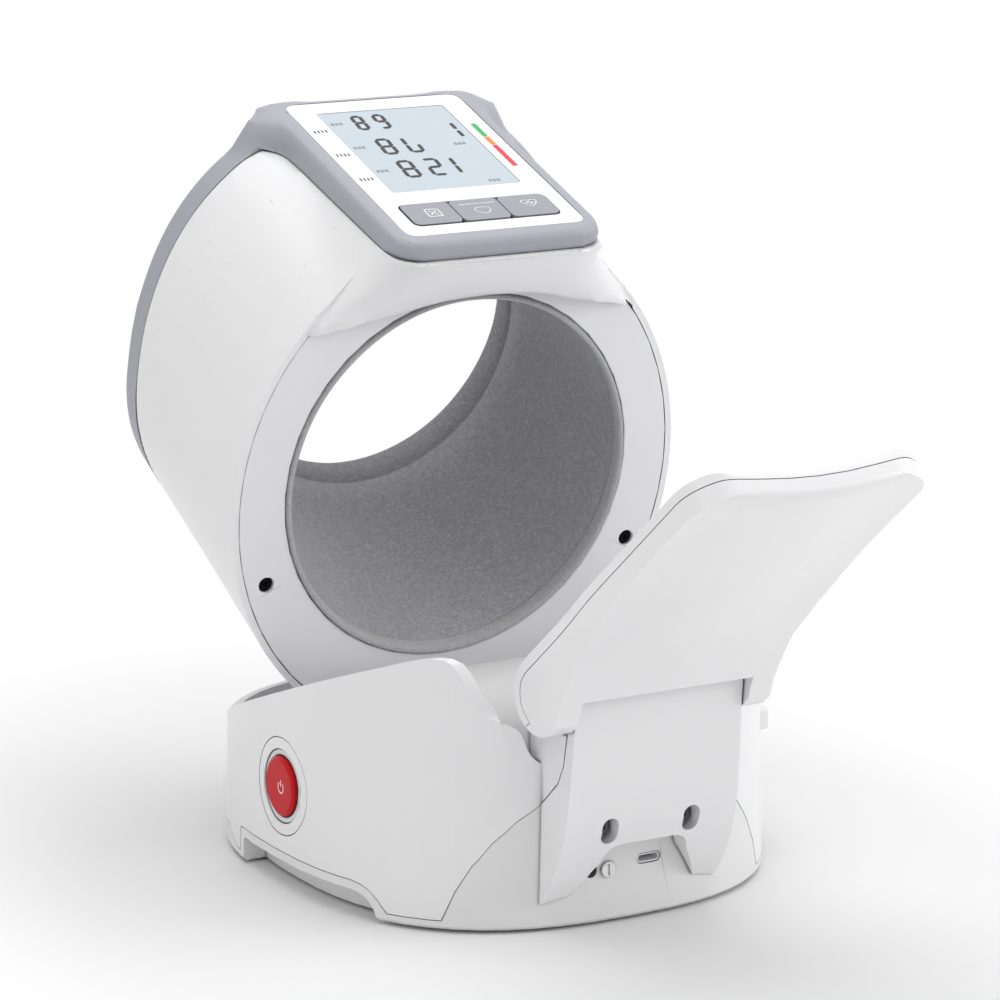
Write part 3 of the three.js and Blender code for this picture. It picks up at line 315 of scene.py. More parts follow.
@dataclass(frozen=True)
class Felt:
    """Nonwoven polyester: matted fibres with pale and dark flecks and a soft pile.

    Attributes:
        name: The material's name.
        pale: The colour of the pale flecks.
        dark: The colour of the dark flecks.
        fibre: The length of a fibre's loop in millimetres.
        depth: The pile's depth in millimetres.
        clump: The width of a clump, in fibres.
        hair: The width of a hair, in fibres.
        shares: How much clumps, hairs and cells make up of the mat.
        stops: Where the mat turns dark, middling and pale.
        soil: The width of a duller patch in millimetres.
        soil_share: How strong these patches are.
        soil_tone: The share of the dark colour that is left in them.
        rough: The roughness of the flat fibres.
        uneven: How much rougher the raised ones are.
        pile: The weight of the soft sheen.
    """

    name: str
    pale: Colour
    dark: Colour
    fibre: float = 0.9
    depth: float = 0.22
    clump: float = 2.6
    hair: float = 0.5
    shares: tuple[float, float, float] = (0.5, 0.3, 0.25)
    stops: tuple[float, float, float] = (0.32, 0.5, 0.66)
    soil: float = 30.0
    soil_share: float = 0.35
    soil_tone: float = 0.93
    rough: float = 0.86
    uneven: float = 0.1
    pile: float = 0.25

    def make(self) -> bpy.types.Material:
        """Makes the node material.

        Returns:
            The material.
        """
        g = Skin(self.name)
        clumps = g.noise(self.fibre * self.clump, 5, 0.72)
        hairs = g.noise(self.fibre * self.hair, 3, 0.7)
        cells = g.node("ShaderNodeTexVoronoi", {"feature": "F1"},
                       {"Vector": g.place(), "Scale": 1 / (self.fibre * MM), "Randomness": 1.0}, "Distance")
        mat = clumps * self.shares[0] + hairs * self.shares[1] + cells * self.shares[2]
        middle = tuple((a + b) / 2 for a, b in zip(self.dark, self.pale))
        stops = list(zip(self.stops, (linear(self.dark), linear(middle), linear(self.pale))))
        tone = g.node("ShaderNodeValToRGB", {"stops": stops}, {0: mat})
        soil = g.noise(self.soil, 2) * self.soil_share
        tone = g.blend(soil, tone, linear(shaded(self.dark, self.soil_tone)))
        return g.surface({"Base Color": tone, "Roughness": mat * self.uneven + self.rough,
                          "Normal": g.relief(mat, self.depth), "Sheen Weight": self.pile,
                          "Sheen Roughness": 0.5, "Specular IOR Level": 0.2})


@dataclass(frozen=True)
class Glass:
    """The display's face: a tinted pane over a pale backlight, with a faint cell pattern.

    Attributes:
        name: The material's name.
        colour: The colour as a screen shows it.
        rough: The roughness of the clean pane.
        uneven: How much rougher a smear is.
        smear: The width of a smear in millimetres.
        cell: The width of a display cell in millimetres.
        dull: The share of the colour that is left under smears and cells.
        depth: The smears' depth in millimetres.
    """

    name: str
    colour: Colour
    rough: float = 0.16
    uneven: float = 0.06
    smear: float = 22.0
    cell: float = 0.5
    dull: float = 0.97
    depth: float = 0.01

    def make(self) -> bpy.types.Material:
        """Makes the node material.

        Returns:
            The material.
        """
        g = Skin(self.name)
        smear = g.noise(self.smear, 3)
        veil = smear * 0.5 + g.noise(self.cell, 1) * 0.1
        tone = g.blend(veil, linear(self.colour), linear(shaded(self.colour, self.dull)))
        return g.surface({"Base Color": tone, "Roughness": smear * self.uneven + self.rough, "IOR": 1.5,
                          "Normal": g.relief(smear, self.depth)})


@dataclass(frozen=True)
class Board:
    """A circuit board: solder mask over copper tracks.

    Attributes:
        name: The material's name.
        mask: The colour of the solder mask.
        track: Its colour over a track.
        scale: The number of track cells in a metre.
        width: The width of a track, as the brick pattern gives it.
        depth: The tracks' height in millimetres.
    """

    name: str
    mask: Colour = (0.10, 0.36, 0.24)
    track: Colour = (0.17, 0.48, 0.32)
    scale: float = 120.0
    width: float = 0.03
    depth: float = 0.02

    def make(self) -> bpy.types.Material:
        """Makes the node material.

        Returns:
            The material.
        """
        g = Skin(self.name)
        tracks = g.node("ShaderNodeTexBrick", {"offset": 0.5},
                        {"Vector": g.place(), "Color1": (0, 0, 0, 1), "Color2": (0.1, 0.1, 0.1, 1),
                         "Mortar": (1, 1, 1, 1), "Scale": self.scale, "Mortar Size": self.width})
        tone = g.blend(tracks, linear(self.mask), linear(self.track))
        return g.surface({"Base Color": tone, "Roughness": g.noise(5, 3) * 0.1 + 0.35,
                          "Normal": g.relief(tracks, self.depth)})


@dataclass(frozen=True)
class Sleeve:
    """A battery's shrink sleeve, plain with a bright band at one end.

    Attributes:
        name: The material's name.
        colour: The sleeve's colour.
        bright: The band's colour.
        band: The band's length in millimetres.
        shine: How metallic the band is.
    """

    name: str
    colour: Colour = (0.13, 0.22, 0.36)
    bright: Colour = (0.78, 0.62, 0.36)
    band: float = 14.0
    shine: float = 0.6

    def make(self) -> bpy.types.Material:
        """Makes the node material.

        Returns:
            The material.
        """
        g = Skin(self.name)
        y = g.node("ShaderNodeSeparateXYZ", {}, {0: g.place()}, "Y")
        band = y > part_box("battery_cell_1")[1][1] - self.band * MM
        tone = g.blend(band, linear(self.colour), linear(self.bright))
        return g.surface({"Base Color": tone, "Metallic": band * self.shine,
                          "Roughness": g.noise(3, 3) * 0.12 + 0.26, "Normal": g.relief(g.noise(1.2, 2), 0.01)})


class Finish(Enum):
    """The finishes of the monitor."""

    SHELL = Moulded("gloss_white_shell", (0.915, 0.915, 0.92), rough=0.3, coat=0.12)
    TRAY = Moulded("satin_white_tray", (0.885, 0.885, 0.885), rough=0.42)
    REST = Moulded("gloss_white_rest", (0.925, 0.925, 0.93), rough=0.26, coat=0.2)
    TRIM = Moulded("grey_trim", (0.64, 0.64, 0.675), rough=0.44, depth=0.012)
    KEYS = Moulded("grey_keys", (0.60, 0.60, 0.635), rough=0.5)
    PANEL = Moulded("printed_panel", (0.955, 0.955, 0.965), rough=0.2, depth=0.002, coat=0.3)
    BUTTON = Moulded("red_button", (0.77, 0.0, 0.08), rough=0.4, bend=1.3)
    LENS = Moulded("milky_light_ring", (0.86, 0.90, 0.91), rough=0.25, coat=0.2)
    RUBBER = Moulded("black_rubber", (0.13, 0.13, 0.135), rough=0.75, grain=0.6, depth=0.03)
    DARK = Moulded("black_plastic", (0.09, 0.09, 0.1), rough=0.45)
    INK = Moulded("black_segments", (0.03, 0.03, 0.04), rough=0.4, depth=0.0)
    PRINT = Moulded("white_print", (0.96, 0.96, 0.96), rough=0.5, depth=0.0)
    PALE_INK = Moulded("grey_print", (0.52, 0.54, 0.58), rough=0.5, depth=0.0)
    GREEN = Moulded("green_print", (0.05, 0.68, 0.33), rough=0.4, depth=0.0)
    AMBER = Moulded("amber_print", (0.97, 0.49, 0.10), rough=0.4, depth=0.0)
    RED = Moulded("red_print", (0.91, 0.10, 0.20), rough=0.4, depth=0.0)
    RING = Moulded("white_face_ring", (0.90, 0.90, 0.91), rough=0.36, coat=0.1)
    STEEL = Metal("plated_steel")
    # Painted shade: near-black steel that stands for the shade in the face screws' holes.
    STEEL_AS_HOLE_SHADE = Metal("steel_darkened_as_hole_shade", (0.10, 0.10, 0.11), 0.5)
    # Painted shade: steel darkened to mid grey, standing for the shade in the bracket screws' holes.
    STEEL_AS_GREY_HOLE_SHADE = Metal("steel_greyed_as_hole_shade", (0.46, 0.46, 0.47), 0.5)
    SCREEN = Glass("display_pane", (0.75, 0.795, 0.83))
    FELT = Felt("nonwoven_liner", (0.70, 0.70, 0.715), (0.52, 0.52, 0.54), fibre=0.7)
    BINDING = Felt("liner_binding", (0.74, 0.74, 0.75), (0.60, 0.60, 0.61), fibre=0.6, depth=0.12)
    BOARD = Board("green_board")
    SLEEVE = Sleeve("cell_sleeve")


class Paints:
    """Makes each finish once and puts it on objects."""

    def __init__(self) -> None:
        """Starts with no material made."""
        self._made: dict[Finish, bpy.types.Material] = {}

    def of(self, finish: Finish) -> bpy.types.Material:
        """The material of a finish.

        Args:
            finish: The finish.

        Returns:
            Its material, made on the first call.
        """
        if finish not in self._made:
            self._made[finish] = finish.value.make()
        return self._made[finish]

    def put(self, piece: bpy.types.Object, finish: Finish) -> None:
        """Gives a piece one material."""
        piece.data.materials.clear()
        piece.data.materials.append(self.of(finish))


def never(spot: Vector) -> bool:
    """No place."""
    return False


@dataclass(frozen=True)
class Smoother:
    """Splits a faceted solid finely and blends it softly between its crisp rims.

    Attributes:
        side: The longest side of a face in millimetres.
        voxel: The side of the even faces that the surface is rebuilt from, in millimetres.
        passes: How often these are blended.
        reach: How far from a rim the surface is quite free, in millimetres.
        turn: An outward edge that turns by as much stays crisp, in radians.
        pace: How far a corner moves towards its neighbours in one pass.
        rim_passes: How often the line of a rim is blended.
        last_passes: How often the finished surface is blended.
        sliver: The width of a face that is too narrow to keep, in millimetres.
        corner: An edge that turns by more is shaded sharp, in radians.
        melts: Whether an edge at a place is soft all the same.
        keeps: Whether an edge at a place stays crisp although it turns by less.
        least_turn: The least turn of such an edge, in radians.
        join: Corners that are closer than this become one, in metres.
        rounds: How often long sides are halved at the most.
        hold: How far the corners on a rim still follow while the surface is rebuilt.
        still: Corners that are less free than this aren't drawn to the rebuilt surface.
    """

    side: float
    voxel: float
    passes: int
    reach: float = 5.0
    turn: float = math.radians(45)
    pace: float = 0.6
    rim_passes: int = 30
    last_passes: int = 10
    sliver: float = 0.25
    corner: float = math.radians(62)
    melts: Callable[[Vector], bool] = never
    keeps: Callable[[Vector], bool] = never
    least_turn: float = math.radians(36)
    join: float = 2e-6
    rounds: int = 9
    hold: float = 0.05
    still: float = 0.01

    def split(self, solid: bmesh.types.BMesh) -> None:
        """Splits every edge that is longer than the wanted side.

        Args:
            solid: The solid, which is changed.
        """
        bmesh.ops.remove_doubles(solid, verts=solid.verts, dist=self.join)
        bmesh.ops.dissolve_degenerate(solid, dist=self.sliver * MM, edges=solid.edges)
        for _ in range(self.rounds):
            bmesh.ops.triangulate(solid, faces=[f for f in solid.faces if len(f.verts) > 3])
            long = [e for e in solid.edges if e.calc_length() > self.side * MM]
            if not long:
                break
            bmesh.ops.subdivide_edges(solid, edges=long, cuts=1)

    def rims(self, solid: bmesh.types.BMesh) -> list[bmesh.types.BMEdge]:
        """Finds the outward edges that stay crisp.

        Args:
            solid: The solid.

        Returns:
            These edges.
        """
        kept = []
        for edge in solid.edges:
            turn = edge.calc_face_angle_signed(0.0) if len(edge.link_faces) == 2 else 0.0
            if turn >= self.least_turn:
                middle = (edge.verts[0].co + edge.verts[1].co) / 2
                if (turn >= self.turn or self.keeps(middle)) and not self.melts(middle):
                    kept.append(edge)
        return kept

    def freedom(self, places: np.ndarray, marks: np.ndarray) -> np.ndarray:
        """How freely each place moves.

        Args:
            places: The places.
            marks: The corners on the rims.

        Returns:
            For each place, 0 on a mark, 1 beyond the reach and a soft rise between.
        """
        tree = KDTree(len(marks))
        for i, mark in enumerate(marks):
            tree.insert(mark, i)
        tree.balance()
        away = np.array([tree.find(place)[2] for place in places])
        share = np.clip(away / (self.reach * MM), 0.0, 1.0)
        return share * share * (3 - 2 * share)

    def melted(self, source: bpy.types.Object, marks: np.ndarray) -> BVHTree:
        """Rebuilds a solid's surface from small even faces and blends it between its rims.

        Args:
            source: The solid's object, which stays as it is.
            marks: The corners on its rims.

        Returns:
            The blended surface, to look up the nearest point on.
        """
        copy = bpy.data.objects.new("even_copy", source.data.copy())
        bpy.context.scene.collection.objects.link(copy)
        faces = copy.modifiers.new("even_faces", "REMESH")
        faces.mode = "VOXEL"
        faces.voxel_size = self.voxel * MM
        mesh = bpy.data.meshes.new_from_object(copy.evaluated_get(bpy.context.evaluated_depsgraph_get()))
        spare = copy.data
        bpy.data.objects.remove(copy)
        bpy.data.meshes.remove(spare)
        places = np.empty(len(mesh.vertices) * 3)
        mesh.vertices.foreach_get("co", places)
        places = places.reshape(-1, 3)
        links = np.empty(len(mesh.edges) * 2, dtype=np.int64)
        mesh.edges.foreach_get("vertices", links)
        weight = np.maximum(self.freedom(places, marks), self.hold)
        places = self.relax(places, links.reshape(-1, 2), weight, self.passes)
        tree = BVHTree.FromPolygons(places.tolist(), [tuple(f.vertices) for f in mesh.polygons])
        bpy.data.meshes.remove(mesh)
        return tree

    def relax(self, places: np.ndarray, links: np.ndarray, weight: np.ndarray, passes: int) -> np.ndarray:
        """Moves corners towards the mean of their neighbours.

        Args:
            places: The corners.
            links: The numbers of the two ends of each edge that pulls.
            weight: How far each corner follows.
            passes: How often.

        Returns:
            The new places.
        """
        both = np.concatenate([links, links[:, ::-1]])
        count = np.maximum(np.bincount(both[:, 0], minlength=len(places)), 1)[:, None]
        for _ in range(passes):
            total = np.stack([np.bincount(both[:, 0], places[both[:, 1], k], len(places)) for k in range(3)], 1)
            places = places + weight[:, None] * self.pace * (total / count - places)
        return places

    def shade(self, solid: bmesh.types.BMesh, rims: list[bmesh.types.BMEdge]) -> None:
        """Shades the solid smooth, but for its rims and its real corners.

        Args:
            solid: The solid, which is changed.
            rims: Its edges that stay crisp.
        """
        solid.normal_update()
        least = (self.sliver * MM) ** 2
        corners = [e for e in solid.edges if e.calc_face_angle(0.0) > self.corner
                   and min(f.calc_area() for f in e.link_faces) > least]
        for face in solid.faces:
            face.smooth = True
        for edge in rims + corners:
            edge.smooth = False

    def skin(self, node: str) -> bpy.types.Mesh:
        """Makes the smoothed mesh of a node of the model.

        Args:
            node: The node, whose own mesh stays as it is.

        Returns:
            The mesh.
        """
        solid = bmesh.new()
        solid.from_mesh(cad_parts[node].data)
        self.split(solid)
        solid.verts.index_update()
        rims = self.rims(solid)
        along = np.array([[v.index for v in e.verts] for e in rims])
        links = np.array([[v.index for v in e.verts] for e in solid.edges])
        places = np.array([v.co[:] for v in solid.verts])
        on_rim = np.bincount(along.ravel(), minlength=len(places))
        marks = places[on_rim > 0]
        free = self.freedom(places, marks)
        surface = self.melted(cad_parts[node], marks)
        loose = np.flatnonzero(free > self.still)
        near = np.array([surface.find_nearest(spot)[0][:] for spot in places[loose].tolist()])
        places[loose] += free[loose, None] * (near - places[loose])
        places = self.relax(places, along, (on_rim == 2) * 1.0, self.rim_passes)
        places = self.relax(places, links, free, self.last_passes)
        for vertex, place in zip(solid.verts, places):
            vertex.co = place
        self.shade(solid, rims)
        mesh = bpy.data.meshes.new(node + "_skin")
        solid.to_mesh(mesh)
        solid.free()
        LOG.info("smoothed %s: %d faces", node, len(mesh.polygons))
        return mesh


class Softener:
    """Joins the facets of a solid, shades them smooth up to an angle and rounds the sharp edges."""

    weld = 2e-6

    def __init__(self, angle: float = 32.0) -> None:
        """Makes the node group that welds and shades.

        Args:
            angle: Edges that turn by more than this many degrees stay sharp.
        """
        self.angle = math.radians(angle)
        self.group = bpy.data.node_groups.new("weld_and_shade", "GeometryNodeTree")
        for way in ("INPUT", "OUTPUT"):
            self.group.interface.new_socket("Geometry", in_out=way, socket_type="NodeSocketGeometry")
        g = Graph(self.group)
        weld = g.node("GeometryNodeMergeByDistance", {}, {"Geometry": g.node("NodeGroupInput", {}, {}),
                                                          "Distance": self.weld})
        faces = g.node("GeometryNodeSetShadeSmooth", {"domain": "FACE"}, {"Geometry": weld, "Shade Smooth": True})
        turn = g.node("GeometryNodeInputMeshEdgeAngle", {}, {}, "Unsigned Angle")
        edges = g.node("GeometryNodeSetShadeSmooth", {"domain": "EDGE"},
                       {"Geometry": faces, "Selection": turn > self.angle, "Shade Smooth": False})
        g.node("NodeGroupOutput", {}, {0: edges})

    def soften(self, piece: bpy.types.Object, round_off: float) -> None:
        """Adds the modifiers.

        Args:
            piece: The object.
            round_off: The width of the rounded edge in millimetres, 0 for none.
        """
        weld = piece.modifiers.new("weld_and_shade", "NODES")
        weld.node_group = self.group
        if round_off:
            bevel = piece.modifiers.new("rounded_edges", "BEVEL")
            bevel.width = round_off * MM
            bevel.segments = 2
            bevel.limit_method = "ANGLE"
            bevel.angle_limit = self.angle
            bevel.use_clamp_overlap = True
            bevel.harden_normals = True
            bevel.miter_outer = "MITER_ARC"


@dataclass(frozen=True)
class Layout:
    """Planes and axes of the model, in millimetres from the middle of the base.

    Attributes:
        foot_back: How far foot_1 lies behind the middle.
        mouth: The middle of the tunnel's mouth.
        face_lean: How far the mouth's plane leans back, in radians.
        axis_rise: How far the tunnel rises towards the rear, in radians.
        length: The tunnel's length along its axis.
        mouth_radius: Its radius at the mouth.
        rear_radius: Its radius at the rear.
        display: The middle of the display panel's near edge.
        display_rise: How far the panel rises towards the rear, in radians.
        panel_half: Half the panel's width.
        panel_length: Its length.
        lip: The width of the crisp border round the panel.
        soft_depth: How far below the panel's plane the soft edge reaches.
        skirt: A point in the plane of the rim under the display frame.
        skirt_rise: How far that plane rises towards the rear, in radians.
        start: The start button's middle, back and up.
    """

    foot_back: float = 60.0
    mouth: tuple[float, float, float] = (0.0, 23.6, 131.7)
    face_lean: float = math.radians(10.2)
    axis_rise: float = math.radians(32.0)
    length: float = 90.0
    mouth_radius: float = 69.0
    rear_radius: float = 62.5
    display: tuple[float, float, float] = (0.0, -5.7, 224.8)
    display_rise: float = math.radians(20.1)
    panel_half: float = 35.6
    panel_length: float = 100.2
    lip: float = 1.8
    soft_depth: float = 3.5
    skirt: tuple[float, float, float] = (0.0, -12.0, 215.5)
    skirt_rise: float = math.radians(18.2)
    start: tuple[float, float] = (-5.4, 36.7)

    def shift(self) -> float:
        """How far the row frame lies behind the middle of the base, in metres."""
        low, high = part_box("foot_1")
        return (low[1] + high[1]) / 2 + self.foot_back * MM

    def point(self, x: float, y: float, z: float) -> Vector:
        """A point of the base frame, in the row frame."""
        return Vector((x * MM, y * MM + self.shift(), z * MM))

    def in_face(self, along: float, x: float, up: float) -> Vector:
        """A point by its way along the barrel's axis and its place in the face's plane.

        Args:
            along: The way along the axis from the mouth.
            x: The place across.
            up: The way up in the plane.

        Returns:
            The point in the row frame.
        """
        y = self.mouth[1] + along * math.cos(self.axis_rise) - up * math.sin(self.face_lean)
        z = self.mouth[2] + along * math.sin(self.axis_rise) + up * math.cos(self.face_lean)
        return self.point(x, y, z)

    def on_frame_top(self, spot: Vector) -> bool:
        """Whether a point lies at the outer edge of the display frame's top, which is soft.

        Args:
            spot: The point in the row frame.

        Returns:
            Whether it does.
        """
        origin, one = self.on_display(0, 0, 0), self.on_display(0, 1, 0)
        along = (one - origin).normalized()
        out = (self.on_display(0, 0, 1) - origin).normalized()
        way = (spot - origin).dot(along) / MM
        beside = abs(spot.x) / MM > self.panel_half + self.lip
        beyond = way < -self.lip or way > self.panel_length + self.lip
        return (spot - origin).dot(out) / MM > -self.soft_depth and (beside or beyond)

    def on_skirt_rim(self, spot: Vector) -> bool:
        """Whether a point lies at the rim under the display frame, which is crisp."""
        out = Vector((0.0, -math.sin(self.skirt_rise), math.cos(self.skirt_rise)))
        return (spot - self.point(*self.skirt)).dot(out) > -MM

    def on_display(self, x: float, up: float, out: float) -> Vector:
        """A point by its place on the display panel."""
        c, s = math.cos(self.display_rise), math.sin(self.display_rise)
        return self.point(x, self.display[1] + up * c - out * s, self.display[2] + up * s + out * c)


class Workshop:
    """Makes mesh pieces and hands them to the frame."""

    def __init__(self, layout: Layout, paints: Paints) -> None:
        """Keeps the layout and the paints.

        Args:
            layout: The planes and axes of the model.
            paints: The materials.
        """
        self.layout = layout
        self.paints = paints
        self.softener = Softener()

    def piece(self, name: str, points: Sequence[Vector], faces: Sequence[Sequence[int]], finish: Finish,
              body: str, smooth: bool = True) -> bpy.types.Object:
        """A mesh piece that rides on a body.

        Args:
            name: The piece's name.
            points: Its corners in the row frame.
            faces: The corners of each face.
            finish: Its finish.
            body: The body that it rides on.
            smooth: Whether its faces are shaded smooth.

        Returns:
            The object.
        """
        mesh = bpy.data.meshes.new(name)
        mesh.from_pydata([tuple(p) for p in points], [], [tuple(f) for f in faces])
        mesh.validate()
        mesh.update()
        for polygon in mesh.polygons:
            polygon.use_smooth = smooth
        made = bpy.data.objects.new(name, mesh)
        bpy.context.scene.collection.objects.link(made)
        self.paints.put(made, finish)
        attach(made, body)
        LOG.info("made %s on %s", name, body)
        return made

    def smooth(self, node: str, name: str, finish: Finish, body: str, slot: str,
               smoother: Smoother) -> bpy.types.Object:
        """Puts a smoothed skin in the place of a node.

        Args:
            node: The node.
            name: The piece's name.
            finish: Its finish.
            body: The body that it rides on.
            slot: Not used.
            smoother: How it is smoothed.

        Returns:
            The object.
        """
        made = bpy.data.objects.new(name, smoother.skin(node))
        bpy.context.scene.collection.objects.link(made)
        self.paints.put(made, finish)
        even = made.modifiers.new("even_shading", "WEIGHTED_NORMAL")
        even.keep_sharp = True
        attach(made, body)
        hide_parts(node)
        LOG.info("made %s on %s", name, body)
        return made

    def dress(self, node: str, finish: Finish, round_off: float = 0.0) -> None:
        """Gives a node of the model its finish and its rounded edges.

        Args:
            node: The node.
            finish: Its finish.
            round_off: The width of the rounded edge in millimetres, 0 for none.
        """
        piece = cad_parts[node]
        self.paints.put(piece, finish)
        self.softener.soften(piece, round_off)
        LOG.info("dressed %s", node)


Outline = list[Spot]


class Decals:
    """Thin printed shapes on a plane, gathered into one piece."""

    thick = 0.04

    def __init__(self, place: Callable[[float, float, float], Vector], lift: float) -> None:
        """Starts an empty sheet.

        Args:
            place: Gives a point from the two places on the plane and the height over it.
            lift: The height of the print over the plane in millimetres.
        """
        self.place = place
        self.lift = lift
        self.points: list[Vector] = []
        self.faces: list[list[int]] = []

    def patch(self, outline: Outline) -> None:
        """Adds one closed shape as a thin plate.

        Args:
            outline: Its corners, turning left as seen from above.
        """
        first, count = len(self.points), len(outline)
        for height in (self.lift, self.lift + self.thick):
            self.points += [self.place(x, y, height) for x, y in outline]
        self.faces.append([first + i for i in reversed(range(count))])
        self.faces.append([first + count + i for i in range(count)])
        for i in range(count):
            j = (i + 1) % count
            self.faces.append([first + i, first + j, first + count + j, first + count + i])

    def row(self, left: float, low: float, size: Spot, step: float, count: int) -> None:
        """Adds equal oblong plates side by side.

        Args:
            left: The first plate's left side.
            low: The lower side of all.
            size: The width and height of a plate.
            step: The way from one plate to the next.
            count: The number of plates.
        """
        for k in range(count):
            near, far, high = left + step * k, left + step * k + size[0], low + size[1]
            self.patch([(near, low), (far, low), (far, high), (near, high)])

    def stroke(self, line: Outline, width: float, closed: bool = False) -> None:
        """Adds a line of a width as a chain of plates, each half a width longer than its part.

        Args:
            line: The points of the line's middle.
            width: The width.
            closed: Whether the last point is joined to the first.
        """
        points = line + line[:1] if closed else line
        for (x0, y0), (x1, y1) in zip(points, points[1:]):
            length = math.hypot(x1 - x0, y1 - y0) or 1.0
            dx, dy = (x1 - x0) / length * width / 2, (y1 - y0) / length * width / 2
            self.patch([(x0 - dx * 0.5 - dy, y0 - dy * 0.5 + dx), (x0 - dx * 0.5 + dy, y0 - dy * 0.5 - dx),
                        (x1 + dx * 0.5 + dy, y1 + dy * 0.5 - dx), (x1 + dx * 0.5 - dy, y1 + dy * 0.5 + dx)])

    def ring(self, middle: Spot, radius: float, width: float, start: float, end: float, steps: int = 30) -> None:
        """Adds an arc of a width.

        Args:
            middle: The arc's middle.
            radius: The radius of the line's middle.
            width: The line's width.
            start: Where it starts, in degrees.
            end: Where it ends, in degrees.
            steps: The number of plates.
        """
        angles = [math.radians(start + (end - start) * i / steps) for i in range(steps + 1)]
        inner, outer = ([(middle[0] + r * math.cos(a), middle[1] + r * math.sin(a)) for a in angles]
                        for r in (radius - width / 2, radius + width / 2))
        for i in range(steps):
            self.patch([inner[i], inner[i + 1], outer[i + 1], outer[i]])

    def finish(self, shop: Workshop, name: str, finish: Finish, body: str) -> bpy.types.Object:
        """Makes the piece."""
        return shop.piece(name, self.points, self.faces, finish, body, smooth=False)


@dataclass(frozen=True)
class Digit:
    """A seven-segment figure, drawn for a reader at the far side of the display.

    Attributes:
        height: Its height in millimetres.
        width: Its width.
        bar: The width of a segment.
        corner: The length that is cut off at an outer corner.
        slant: How far it leans to the right for each millimetre up.
        gap: Half the gap between two segments.
    """

    height: float
    width: float
    bar: float = 1.5
    corner: float = 1.5
    slant: float = 0.06
    gap: float = 0.1

    SEGMENTS = {"0": "abcdef", "1": "bc", "2": "abged", "3": "abgcd", "4": "fgbc", "5": "afgcd", "6": "afgedc",
                "7": "abcf", "8": "abcdefg", "9": "abcdfg"}

    def bars(self, figure: str) -> list[Outline]:
        """The segments that are on.

        Args:
            figure: The figure, one of 0 to 9.

        Returns:
            Their outlines, from the figure's middle.
        """
        w, h, t, g, c = self.width / 2, self.height / 2, self.bar, self.gap, self.corner
        shapes = {"g": [(-w + t * 0.5 + g, 0.0), (-w + t + g, t / 2), (w - t - g, t / 2), (w - t * 0.5 - g, 0.0),
                        (w - t - g, -t / 2), (-w + t + g, -t / 2)]}
        shapes["a"] = [(-w + c + g, h), (w - c - g, h), (w - c / 2 - g, h - c / 2), (w - t - g, h - t),
                       (-w + t + g, h - t), (-w + c / 2 + g, h - c / 2)]
        shapes["d"] = [(x, -y) for x, y in shapes["a"]][::-1]
        shapes["b"] = [(w - c / 2, h - c / 2 - g), (w, h - c - g), (w, t * 0.35 + g), (w - t / 2, g),
                       (w - t, t / 2 + g), (w - t, h - t - g)]
        shapes["c"] = [(x, -y) for x, y in shapes["b"]][::-1]
        shapes["f"] = [(-x, y) for x, y in shapes["b"]][::-1]
        shapes["e"] = [(-x, -y) for x, y in shapes["b"]]
        return [[(x + y * self.slant, y) for x, y in shapes[s]] for s in self.SEGMENTS[figure]]


@dataclass(frozen=True)
class Row:
    """One line of figures on the display.

    Attributes:
        text: The figures as they are read.
        places: The middle of each across the panel.
        middle: The middle of all along the panel.
        height: Their height.
        width: Their width.
    """

    text: str
    places: tuple[float, ...]
    middle: float
    height: float
    width: float


